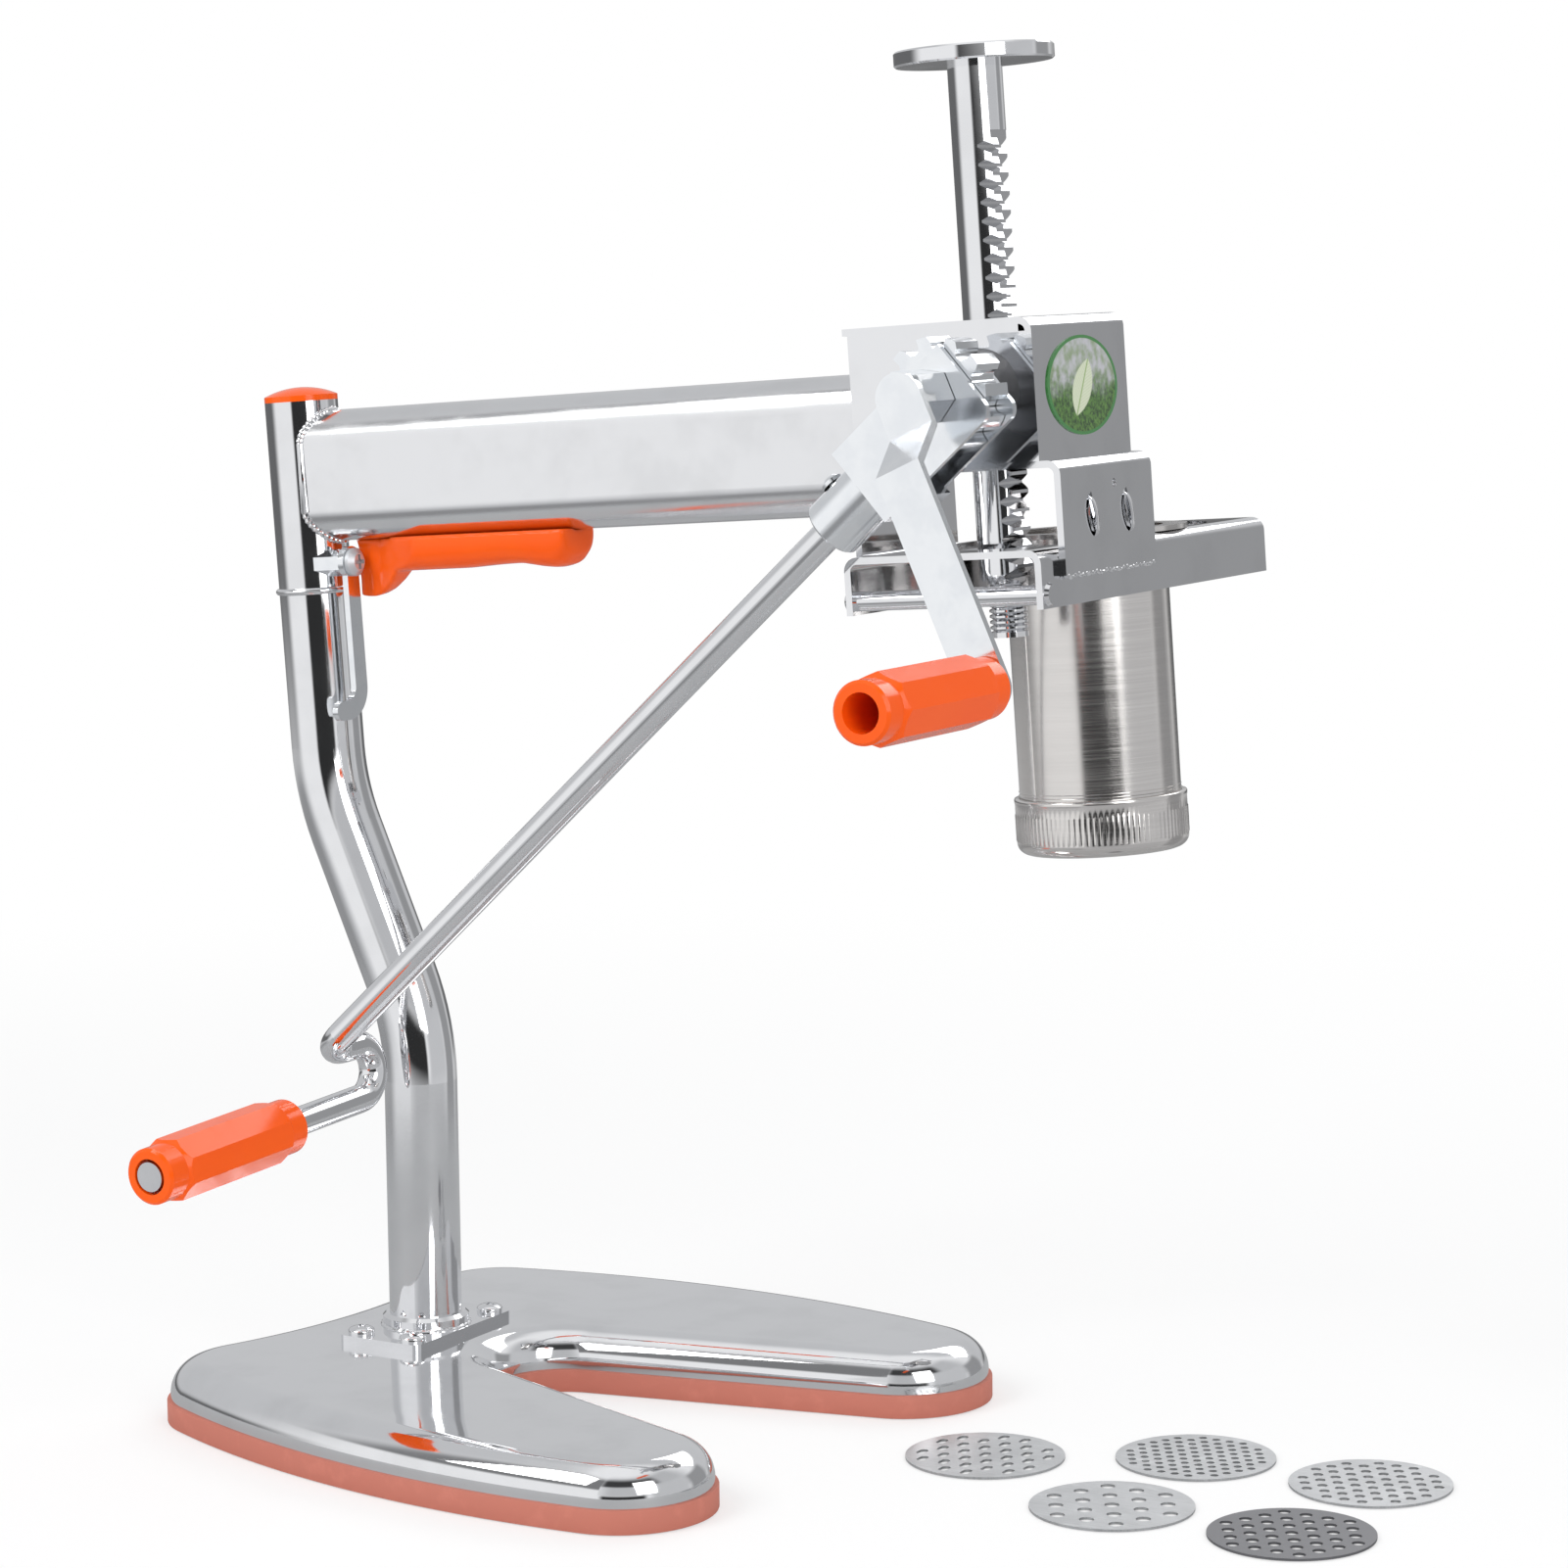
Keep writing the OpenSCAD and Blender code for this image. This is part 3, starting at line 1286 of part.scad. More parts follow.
// Places its children on the barrel's axis in the head frame
module at_barrel(z) {
    head() translate([rack_x, barrel_y, z]) children();
}

module barrel() {
    tube_l = tray_top - barrel_end;
    color("silver") at_barrel(barrel_end) difference() {
        union() {
            cylinder(d = barrel_d, h = tube_l);
            translate([0, 0, tube_l]) cylinder(d = barrel_flange_d, h = barrel_flange_t);
        }
        translate([0, 0, -over]) cylinder(d = barrel_bore, h = tube_l + barrel_flange_t + 2 * over);
    }
}

module screw_cap() {
    notch = (cap_d - barrel_d) * 0.06;
    body_r = cap_d / 2 - notch;
    color("silver") at_barrel(cap_low) difference() {
        union() {
            translate([0, 0, cap_round_r]) cylinder(r = body_r, h = cap_h - cap_round_r);
            cylinder(r = body_r - cap_round_r, h = cap_round_r);
            rotate_extrude() intersection() {
                translate([body_r - cap_round_r, cap_round_r]) circle(cap_round_r);
                square([body_r, cap_round_r]);
            }
            translate([0, 0, cap_h - knurl_drop + notch]) cylinder(d = cap_d, h = knurl_drop - 3 * notch);
            translate([0, 0, cap_h - knurl_drop - knurl_h]) linear_extrude(knurl_h)
                polygon([for (i = [0 : 2 * knurl_n - 1])
                    (cap_d / 2 - (i % 2) * notch) * [cos(180 * i / knurl_n), sin(180 * i / knurl_n)]]);
        }
        translate([0, 0, cap_lip_t]) cylinder(d = barrel_d + 2 * fit, h = cap_h);
        translate([0, 0, -over]) cylinder(d = cap_mouth_d, h = cap_lip_t + 2 * over);
    }
}

module die_seal() {
    color("dimgray") at_barrel(seal_z) difference() {
        cylinder(d = die_d, h = seal_t);
        translate([0, 0, -over]) cylinder(d = die_d - 2 * seal_w, h = seal_t + 2 * over);
    }
}

// Dies

// Hexagonal field of children at a pitch, inside a radius
module hex_field(pitch, r) {
    n = ceil(r / pitch) + 1;
    for (i = [-2 * n : 2 * n], j = [-n : n]) {
        p = pitch * [i + j / 2, j * sqrt(3) / 2];
        if (norm(p) < r) translate(p) children();
    }
}

// Plate with a hexagonal field of round holes that keep clear of its edge
module die_plate(hole_d, pitch, margin) {
    linear_extrude(die_t) difference() {
        circle(d = die_d);
        hex_field(pitch, die_d / 2 - margin) circle(d = hole_d);
    }
}

module working_die() {
    color("gainsboro") at_barrel(die_z)
        die_plate(medium_hole_d, medium_pitch, (die_d - cap_mouth_d) / 2 + medium_hole_d / 2);
}

// Places its children on the table: column i and half row j from the nearest spare die
module spare_place(i, j) {
    translate(col_pos + [spare_x + i * spare_pitch, spare_y + j * spare_pitch / 2, 0]) children();
}

module spare_die_oval() {
    color("gainsboro") spare_place(0, 0) linear_extrude(die_t) difference() {
        circle(d = die_d);
        hex_field(oval_l * 1.5, die_d / 2 - oval_l * 0.7) {
            square([oval_w, oval_l - oval_w], center = true);
            for (s = [-1, 1]) translate([0, s * (oval_l - oval_w) / 2]) circle(d = oval_w);
        }
    }
}

module spare_die_fine() {
    color("gainsboro") spare_place(1, 1) die_plate(fine_hole_d, fine_pitch, fine_hole_d);
}

module spare_die_medium() {
    color("gainsboro") spare_place(2, 1) die_plate(medium_hole_d, medium_pitch, medium_hole_d);
}

module spare_die_coarse() {
    color("gainsboro") spare_place(1, -1) die_plate(coarse_hole_d, coarse_pitch, coarse_hole_d);
}

module spare_die_dimpled() {
    color("dimgray") spare_place(2, -1) die_plate(dimple_hole_d, dimple_pitch, dimple_hole_d * 0.8);
}

base_plate();
base_rim();
column_flange();
flange_screws();
column();
column_seam();
column_cap();
arm();
arm_grip();
latch_spacer();
latch_screw();
latch_hook();
gearbox_frame();
gearbox_cover();
badge();
rack_guide();
front_bearing();
rear_bearing();
spindle();
spindle_clip();
ratchet_wheel();
crank_nut();
crank_arm();
crank_pin();
crank_grip();
lever_fork();
rod_socket();
socket_screw();
lever_rod();
lever_grip();
pawl_pin();
pawl();
rack();
press_disc();
yoke();
tray();
stop_rod();
barrel();
working_die();
die_seal();
screw_cap();
spare_die_oval();
spare_die_fine();
spare_die_medium();
spare_die_coarse();
spare_die_dimpled();
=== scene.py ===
"""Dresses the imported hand-lever sevai maker for rendering.

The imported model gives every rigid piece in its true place, in metres. This script adds the
finishes, the smooth pressed foot, the moulded grip, weld beads, small trim and a white studio.
"""
from __future__ import annotations

import json
import logging
import math
from dataclasses import dataclass
from enum import Enum
from typing import Callable, Sequence, Union

import bmesh
import bpy
from bmesh.types import BMesh
from mathutils import Matrix, Vector

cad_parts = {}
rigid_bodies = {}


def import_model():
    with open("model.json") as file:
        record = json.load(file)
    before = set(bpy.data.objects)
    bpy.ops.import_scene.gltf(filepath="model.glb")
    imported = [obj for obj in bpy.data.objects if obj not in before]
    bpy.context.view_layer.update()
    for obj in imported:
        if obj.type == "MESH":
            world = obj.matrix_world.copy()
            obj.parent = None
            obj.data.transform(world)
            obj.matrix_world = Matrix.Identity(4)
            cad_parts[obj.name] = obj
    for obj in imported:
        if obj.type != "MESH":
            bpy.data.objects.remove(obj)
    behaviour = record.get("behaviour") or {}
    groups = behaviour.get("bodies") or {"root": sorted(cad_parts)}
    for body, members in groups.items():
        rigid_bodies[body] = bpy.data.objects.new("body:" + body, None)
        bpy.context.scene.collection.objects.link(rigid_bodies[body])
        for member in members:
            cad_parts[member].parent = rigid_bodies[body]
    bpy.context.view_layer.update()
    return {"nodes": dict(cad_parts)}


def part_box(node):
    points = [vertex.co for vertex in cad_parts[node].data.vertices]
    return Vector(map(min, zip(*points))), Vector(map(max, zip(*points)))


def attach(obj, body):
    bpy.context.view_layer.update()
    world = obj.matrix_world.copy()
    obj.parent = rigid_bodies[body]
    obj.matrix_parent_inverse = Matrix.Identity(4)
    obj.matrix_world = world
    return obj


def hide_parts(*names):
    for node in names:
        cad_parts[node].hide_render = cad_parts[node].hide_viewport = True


LOG = logging.getLogger("sevai_maker")
MM = 0.001
Point = tuple[float, float, float]
Colour = tuple[float, float, float]
Span = tuple[float, float]
Count = tuple[int, int]
Cut = tuple[tuple[Span, ...], float, float]
FULL_TURN = 2.0 * math.pi
QUARTER_TURN = math.pi / 2
WHITE = (1.0, 1.0, 1.0)
TINY = 1e-6

# Places of the Mix node's factor, two colours and resulting colour
MIX_FACTOR, MIX_A, MIX_B, MIX_COLOUR = 0, 6, 7, 2

# Head frame: X along the arm, Z up the leaning column
LEAN = math.radians(3.8)
HEAD_POS = Vector((-85.035, 0.0, 390.230))


def head_point(x: float, y: float, z: float) -> Vector:
    """Place in metres of a point of the head frame given in millimetres."""
    return (HEAD_POS + head_direction(x, y, z)) * MM


def head_direction(x: float, y: float, z: float) -> Vector:
    """Direction of the head frame turned into the model's axes."""
    c, s = math.cos(LEAN), math.sin(LEAN)
    return Vector((x * c - z * s, y, x * s + z * c))


# Shader maths


class Socket:
    """Wraps an output socket so that Python operators add Math nodes."""

    def __init__(self, graph: "Graph", link: bpy.types.NodeSocket) -> None:
        """Keeps the graph that the socket belongs to."""
        self.graph = graph
        self.link = link

    def _math(self, operation: str, *values: "Value") -> "Socket":
        """Adds one Math node on these values and returns its result."""
        return self.graph.node("ShaderNodeMath", dict(enumerate(values)), operation=operation)

    def __add__(self, other: "Value") -> "Socket":
        """Sum."""
        return self._math("ADD", self, other)

    def __radd__(self, other: "Value") -> "Socket":
        """Sum with a plain number on the left."""
        return self._math("ADD", other, self)

    def __sub__(self, other: "Value") -> "Socket":
        """Difference."""
        return self._math("SUBTRACT", self, other)

    def __rsub__(self, other: "Value") -> "Socket":
        """Difference from a plain number."""
        return self._math("SUBTRACT", other, self)

    def __mul__(self, other: "Value") -> "Socket":
        """Product."""
        return self._math("MULTIPLY", self, other)

    def __truediv__(self, other: "Value") -> "Socket":
        """Quotient."""
        return self._math("DIVIDE", self, other)

    def __abs__(self) -> "Socket":
        """Size without sign."""
        return self._math("ABSOLUTE", self)

    def root(self) -> "Socket":
        """Square root."""
        return self._math("SQRT", self)

    def sine(self) -> "Socket":
        """Sine of an angle in radians."""
        return self._math("SINE", self)

    def angle(self, other: "Value") -> "Socket":
        """Angle of the point (other, this) in radians."""
        return self._math("ARCTAN2", self, other)

    def most(self, other: "Value") -> "Socket":
        """The greater of two."""
        return self._math("MAXIMUM", self, other)

    def ramp(self, low: float, high: float, to_low: float = 0.0, to_high: float = 1.0) -> "Socket":
        """Smooth step from to_low at low to to_high at high."""
        return self.graph.node("ShaderNodeMapRange", {
            "Value": self, "From Min": low, "From Max": high, "To Min": to_low, "To Max": to_high,
        }, interpolation_type="SMOOTHSTEP")


Value = Union[Socket, float, Sequence[float]]
Values = dict[Union[str, int], Value]


class Graph:
    """Node tree of one material or of the world."""

    def __init__(self, tree: bpy.types.NodeTree) -> None:
        """Starts from an empty tree."""
        self.tree = tree
        tree.nodes.clear()

    def make(self, kind: str, values: Values | None = None, **settings: object) -> bpy.types.Node:
        """Adds a node with these properties and values of its sockets, by name or place."""
        node = self.tree.nodes.new(kind)
        for name, setting in settings.items():
            setattr(node, name, setting)
        for key, value in (values or {}).items():
            target = node.inputs[key]
            if isinstance(value, Socket):
                self.tree.links.new(value.link, target)
            else:
                target.default_value = value
        return node

    def node(self, kind: str, values: Values | None = None, out: Union[str, int] = 0,
             **settings: object) -> Socket:
        """Adds a node and returns one of its outputs."""
        return Socket(self, self.make(kind, values, **settings).outputs[out])

    def place(self) -> Socket:
        """Position on the piece, which moves with it."""
        return self.node("ShaderNodeTexCoord", out="Object")

    def vector(self, operation: str, *values: Value, out: str = "Vector") -> Socket:
        """Vector maths."""
        return self.node("ShaderNodeVectorMath", dict(enumerate(values)), out, operation=operation)

    def along(self, direction: Sequence[float], at: Socket | None = None) -> Socket:
        """Distance of a place along a direction."""
        return self.vector("DOT_PRODUCT", at or self.place(), tuple(direction), out="Value")

    def mix(self, factor: Value, a: Value, b: Value) -> Socket:
        """Blend of two colours."""
        a, b = (value if isinstance(value, Socket) else (*value, 1.0) for value in (a, b))
        return self.node("ShaderNodeMix", {MIX_FACTOR: factor, MIX_A: a, MIX_B: b}, MIX_COLOUR,
                         data_type="RGBA")

    def rays(self) -> tuple[Socket, Socket]:
        """1 for a ray straight from the camera, and 1 for one off a glossy surface."""
        path = self.make("ShaderNodeLightPath")
        return tuple(Socket(self, path.outputs[f"Is {kind} Ray"]) for kind in ("Camera", "Glossy"))

    def bump(self, height: Value, strength: float, distance: float) -> Socket:
        """Normal from a height."""
        return self.node("ShaderNodeBump",
                         {"Height": height, "Strength": strength, "Distance": distance})

    def surface(self, shader: Socket) -> None:
        """Links a shader to the output."""
        world = isinstance(self.tree.id_data, bpy.types.World)
        self.make("ShaderNodeOutputWorld" if world else "ShaderNodeOutputMaterial",
                  {"Surface": shader})


def new_material(name: str) -> tuple[bpy.types.Material, Graph]:
    """An empty node material and its graph."""
    made = bpy.data.materials.new(name)
    made.use_nodes = True
    return made, Graph(made.node_tree)


# Finishes


@dataclass(frozen=True)
class Layer:
    """One layer of noise that a finish reads.

    Attributes:
        scale: Cells to the metre.
        octaves: Levels of detail.
        shown: Noise values between which the layer rises from 0 to 1, or none for plain noise.
        stretch: Factor on each axis, so that a small one draws the grain out along it.
    """

    scale: float
    octaves: float
    shown: Span | None = None
    stretch: Point | None = None

    def read(self, graph: Graph, at: Socket | None = None) -> Socket:
        """The layer at a place, or on the piece itself."""
        at = at or graph.place()
        if self.stretch:
            at = graph.vector("MULTIPLY", at, self.stretch)
        noise = graph.node("ShaderNodeTexNoise", {
            "Vector": at, "Scale": self.scale, "Detail": self.octaves})
        return noise.ramp(*self.shown) if self.shown else noise


def toned(colour: Colour, tone: Sequence[float]) -> Colour:
    """The colour with each of its channels scaled."""
    return tuple(channel * share for channel, share in zip(colour, tone))


@dataclass(frozen=True)
class Finish:
    """One surface finish; a subclass says how it is shaded."""

    name: str
    colour: Colour
    roughness: float
    metal: float = 1.0

    def shade(self, graph: Graph) -> Values:
        """Values of the Principled shader's sockets, apart from how metallic it is."""
        raise NotImplementedError

    def material(self) -> bpy.types.Material:
        """The material, made once."""
        found = bpy.data.materials.get(self.name)
        if found:
            return found
        made, graph = new_material(self.name)
        values = {"Metallic": self.metal, **self.shade(graph)}
        graph.surface(graph.node("ShaderNodeBsdfPrincipled", values))
        return made


@dataclass(frozen=True)
class Chrome(Finish):
    """Bright plate over polished steel, with faint haze, ripple and fine scratches."""

    haze: float = 0.05
    smears: Layer = Layer(38.0, 4.0, (0.42, 0.72))
    smear_tone: Colour = (0.9, 0.9, 0.9)
    smear_tint: float = 0.6
    dust: Layer = Layer(900.0, 2.0, (0.6, 0.78))
    dust_share: float = 0.6
    scratches: Layer = Layer(300.0, 2.0, (0.62, 0.66), (1.0, 4.0, 0.5))
    scratch_depth: float = 0.002
    ripples: Layer = Layer(26.0, 1.0)
    relief: Span = (0.3, 0.0002)

    def shade(self, graph: Graph) -> Values:
        """Haze feeds the roughness, slow ripple and scratches feed the normal."""
        smear = self.smears.read(graph)
        dull = smear * self.haze + self.dust.read(graph) * self.haze * self.dust_share
        height = self.ripples.read(graph) + self.scratches.read(graph) * self.scratch_depth
        return {
            "Base Color": graph.mix(smear * self.smear_tint, self.colour,
                                    toned(self.colour, self.smear_tone)),
            "Roughness": self.roughness + dull,
            "Normal": graph.bump(height, *self.relief),
        }


@dataclass(frozen=True)
class ZincPlate(Finish):
    """Blue-white bright zinc on stamped steel, with a crystalline mottle."""

    spangle_scale: float = 520.0
    spangle_weights: Span = (0.06, 0.02)
    clouds: Layer = Layer(95.0, 4.0, (0.38, 0.66))
    cloud_weights: Span = (0.22, 0.04)
    cloud_tone: Colour = (0.78, 0.8, 0.84)
    pits: Layer = Layer(2400.0, 2.0)
    relief: Span = (0.05, 0.00002)

    def shade(self, graph: Graph) -> Values:
        """Spangle and smears feed colour and roughness, fine pits feed the normal."""
        spangle = graph.node("ShaderNodeTexVoronoi", {
            "Vector": graph.place(), "Scale": self.spangle_scale})
        cloud = self.clouds.read(graph)
        tint, dull = (cloud * c + spangle * s
                      for c, s in zip(self.cloud_weights, self.spangle_weights))
        return {
            "Base Color": graph.mix(tint, self.colour, toned(self.colour, self.cloud_tone)),
            "Roughness": self.roughness + dull,
            "Normal": graph.bump(self.pits.read(graph), *self.relief),
        }


@dataclass(frozen=True)
class TurnedSteel(Finish):
    """Stainless steel brushed round an axis, as on a lathe."""

    axis: Point = (0.0, 0.0, 1.0)
    wander: float = 0.012
    lines: Layer = Layer(2600.0, 3.0)
    bands: Layer = Layer(208.0, 2.0)
    line_tint: Span = (0.6, 0.4)
    tint_shown: Span = (0.3, 0.75)
    line_shown: Span = (0.35, 0.7)
    line_dulling: float = 0.06
    clouds: Layer = Layer(24.0, 3.0, (0.3, 0.75))
    cloud_dulling: float = 0.05
    dark_tone: Colour = (0.9, 0.9, 0.9)
    band_depth: float = 0.5
    relief: Span = (0.12, 0.00003)

    def shade(self, graph: Graph) -> Values:
        """Rings of fine grooves feed roughness, colour and the normal."""
        flat = graph.vector("MULTIPLY", graph.place(), (self.wander,) * 3)
        height = graph.node("ShaderNodeCombineXYZ", {"Z": graph.along(self.axis)})
        at = graph.vector("ADD", flat, height)
        fine, broad = self.lines.read(graph, at), self.bands.read(graph, at)
        tint = (fine * self.line_tint[0] + broad * self.line_tint[1]).ramp(*self.tint_shown)
        dull = fine.ramp(*self.line_shown) * self.line_dulling
        return {
            "Base Color": graph.mix(tint, toned(self.colour, self.dark_tone), self.colour),
            "Roughness": self.roughness + dull + self.clouds.read(graph) * self.cloud_dulling,
            "Normal": graph.bump(fine + broad * self.band_depth, *self.relief),
        }


@dataclass(frozen=True)
class RolledSheet(Finish):
    """Sheet steel with a straight mill grain and a few scuffs."""

    grain: Layer = Layer(90.0, 4.0, None, (1.0, 30.0, 1.0))
    grain_shown: Span = (0.3, 0.7)
    scuffs: Layer = Layer(420.0, 2.0, (0.6, 0.7), (0.35, 1.0, 1.0))
    clouds: Layer = Layer(60.0, 3.0, (0.35, 0.7))
    tint: Span = (0.5, 0.3)
    dulling: Span = (0.1, 0.15)
    scuff_depth: float = 0.4
    dark_tone: Colour = (0.7, 0.7, 0.7)
    relief: Span = (0.25, 0.00004)

    def shade(self, graph: Graph) -> Values:
        """Long grain and short scuffs feed roughness, colour and the normal."""
        grain, scuff = self.grain.read(graph), self.scuffs.read(graph)
        tint = grain.ramp(*self.grain_shown) * self.tint[0] + self.clouds.read(graph) * self.tint[1]
        return {
            "Base Color": graph.mix(tint, self.colour, toned(self.colour, self.dark_tone)),
            "Roughness": self.roughness + grain * self.dulling[0] + scuff * self.dulling[1],
            "Normal": graph.bump(grain + scuff * self.scuff_depth, *self.relief),
        }


@dataclass(frozen=True)
class MouldedPlastic(Finish):
    """Glossy injection-moulded plastic with faint flow marks and finger wear."""

    metal: float = 0.0
    flow: Layer = Layer(55.0, 3.0, (0.3, 0.75), (1.0, 0.3, 1.0))
    flow_tone: Colour = (0.97, 0.86, 0.8)
    flow_tint: float = 0.7
    wear: Layer = Layer(170.0, 3.0, (0.5, 0.75))
    wear_dulling: float = 0.1
    peel: Layer = Layer(1300.0, 1.0)
    relief: Span = (0.06, 0.00004)
    coat: Span = (0.05, 0.12)
    specular: float = 0.28

    def shade(self, graph: Graph) -> Values:
        """Flow marks tint the colour, wear dulls the gloss, a fine orange peel feeds the normal."""
        return {
            "Base Color": graph.mix(self.flow.read(graph) * self.flow_tint, self.colour,
                                    toned(self.colour, self.flow_tone)),
            "Roughness": self.roughness + self.wear.read(graph) * self.wear_dulling,
            "Normal": graph.bump(self.peel.read(graph), *self.relief),
            "Coat Weight": self.coat[0],
            "Coat Roughness": self.coat[1],
            "Specular IOR Level": self.specular,
        }


@dataclass(frozen=True)
class MattRubber(Finish):
    """Matt rubber moulding, dusty and slightly grained."""

    metal: float = 0.0
    grain: Layer = Layer(2200.0, 3.0)
    dust: Layer = Layer(120.0, 4.0, (0.5, 0.78))
    tint: Span = (0.5, 0.15)
    pale_gain: float = 1.18
    pale_lift: float = 0.02
    dulling: float = 0.12
    relief: Span = (0.35, 0.00012)

    def shade(self, graph: Graph) -> Values:
        """Dust lightens the colour, fine grain feeds the normal."""
        grain = self.grain.read(graph)
        pale = tuple(min(1.0, c * self.pale_gain + self.pale_lift) for c in self.colour)
        tint = self.dust.read(graph) * self.tint[0] + grain * self.tint[1]
        return {
            "Base Color": graph.mix(tint, self.colour, pale),
            "Roughness": self.roughness + grain * self.dulling,
            "Normal": graph.bump(grain, *self.relief),
        }


@dataclass(frozen=True)
class PrintedBadge(Finish):
    """Round print under gloss: a green ring round a misty meadow with one pale leaf.

    Sizes of the picture are shares of its half width and half height.
    """

    metal: float = 0.0
    centre: Point = (0.0, 0.0, 0.0)
    right: Point = (0.0, 1.0, 0.0)
    up: Point = (0.0, 0.0, 1.0)
    half_width: float = 0.027
    half_height: float = 0.0175
    mist: Layer = Layer(230.0, 3.0)
    fine: Layer = Layer(700.0, 3.0)
    contrast: Span = (0.3, 0.7)
    meadow: tuple[Colour, Colour] = ((0.012, 0.055, 0.006), (0.10, 0.24, 0.035))
    sky: tuple[Colour, Colour] = ((0.28, 0.36, 0.22), (0.56, 0.56, 0.60))
    mist_rise: float = 0.7
    horizon: Span = (0.0, 0.75)
    ring_edge: Span = (0.925, 0.945)
    leaf: tuple[Colour, Colour] = ((0.72, 0.78, 0.58), (0.30, 0.45, 0.16))
    leaf_lean: Span = (0.94, 0.34)
    leaf_rise: float = 0.05
    leaf_waist: float = 0.55
    leaf_edge: Span = (0.8, 0.83)
    rib_edge: Span = (0.0, 0.03)
    vein_turns: float = 42.0
    vein_edge: Span = (0.0, 0.35)
    vein_weight: float = 0.45
    dulling: float = 0.05
    coat: Span = (0.6, 0.06)

    def _leaf(self, graph: Graph, x: Socket, y: Socket, scene: Socket) -> Socket:
        """Lays the leaf over the scene: two discs' overlap, leaning right, with a darker midrib."""
        c, s = self.leaf_lean
        u = abs(x * c - y * s)
        v = x * s + y * c + self.leaf_rise
        side = u + self.leaf_waist
        mask = 1.0 - (side * side + v * v).root().ramp(*self.leaf_edge)
        rib = 1.0 - u.ramp(*self.rib_edge)
        veins = 1.0 - abs(((v - u) * self.vein_turns).sine()).ramp(*self.vein_edge)
        return graph.mix(mask, scene, graph.mix(rib.most(veins * self.vein_weight), *self.leaf))

    def shade(self, graph: Graph) -> Values:
        """The whole print feeds the colour."""
        here = graph.vector("SUBTRACT", graph.place(), self.centre)
        x = graph.along(self.right, here) / self.half_width
        y = graph.along(self.up, here) / self.half_height
        mist, fine = self.mist.read(graph, here), self.fine.read(graph, here)
        scene = graph.mix((y + mist * self.mist_rise).ramp(*self.horizon),
                          graph.mix(fine.ramp(*self.contrast), *self.meadow),
                          graph.mix(mist.ramp(*self.contrast), *self.sky))
        scene = self._leaf(graph, x, y, scene)
        away = (x * x + y * y).root()
        return {
            "Base Color": graph.mix(away.ramp(*self.ring_edge), scene, self.colour),
            "Roughness": self.roughness + fine * self.dulling,
            "Coat Weight": self.coat[0],
            "Coat Roughness": self.coat[1],
        }


AXIS = tuple(head_direction(0.0, 0.0, 1.0))
BADGE_CENTRE = tuple(head_point(342.0, 0.0, -13.2))


class Finishes(Enum):
    """The finishes of this press."""

    CHROME = Chrome("bright_chrome", (0.83, 0.835, 0.85), 0.045)
    SATIN = Chrome("satin_chrome", (0.82, 0.825, 0.84), 0.15, haze=0.07)
    ZINC = ZincPlate("zinc_plate", (0.90, 0.92, 0.94), 0.13)
    DULL_ZINC = ZincPlate("dull_zinc", (0.60, 0.62, 0.64), 0.36, metal=0.5)
    TURNED = TurnedSteel("turned_stainless", (0.78, 0.755, 0.735), 0.12, axis=AXIS)
    DIE = RolledSheet("die_stainless", (0.74, 0.75, 0.76), 0.28)
    BARE = RolledSheet("bare_steel", (0.34, 0.34, 0.35), 0.32)
    DARK = RolledSheet("dark_steel", (0.055, 0.055, 0.06), 0.16)
    ORANGE = MouldedPlastic("orange_plastic", (1.0, 0.118, 0.005), 0.15)
    RIM = MattRubber("salmon_rubber", (0.53, 0.172, 0.122), 0.62)
    SEAL = MattRubber("black_seal", (0.03, 0.03, 0.03), 0.55)
    BADGE = PrintedBadge("badge_print", (0.045, 0.22, 0.05), 0.22, centre=BADGE_CENTRE, up=AXIS)


NODE_FINISH: dict[Finishes, tuple[str, ...]] = {
    Finishes.CHROME: ("base_plate", "column", "column_seam", "rack", "press_disc", "lever_rod",
                      "gearbox_frame", "gearbox_cover", "yoke", "tray", "column_flange",
                      "flange_screws", "stop_rod"),
    Finishes.SATIN: ("arm",),
    Finishes.ZINC: ("latch_spacer", "latch_hook", "ratchet_wheel", "crank_nut",
                    "crank_arm", "crank_pin", "lever_fork", "rod_socket", "socket_screw",
                    "pawl_pin", "pawl", "spindle_clip"),
    Finishes.DULL_ZINC: ("latch_screw",),
    Finishes.TURNED: ("barrel", "screw_cap"),
    Finishes.DIE: ("working_die", "spare_die_oval", "spare_die_fine", "spare_die_medium",
                   "spare_die_coarse"),
    Finishes.BARE: ("rack_guide", "front_bearing", "rear_bearing", "spindle"),
    Finishes.DARK: ("spare_die_dimpled",),
    Finishes.ORANGE: ("column_cap", "arm_grip", "crank_grip", "lever_grip"),
    Finishes.RIM: ("base_rim",),
    Finishes.SEAL: ("die_seal",),
    Finishes.BADGE: ("badge",),
}


# Meshes

SHEET_ANGLE = 35.0
FORM_ANGLE = 40.0
TURNED_ANGLE = 50.0
MOULDED_ANGLE = 80.0
SKEW = Vector((0.31, 0.17, 0.93))
SWELL = 0.16
SMOOTHING = 0.5
SMOOTH_ROUNDS = 7


def around(steps: int) -> list[float]:
    """Angles of so many equal steps round a full turn."""
    return [FULL_TURN * i / steps for i in range(steps)]


def polar(r: float, a: float, z: float = 0.0) -> Vector:
    """Point at distance r and angle a round Z."""
    return Vector((r * math.cos(a), r * math.sin(a), z))


def new_object(name: str, data: bpy.types.ID) -> bpy.types.Object:
    """A new object of the scene."""
    made = bpy.data.objects.new(name, data)
    bpy.context.scene.collection.objects.link(made)
    return made


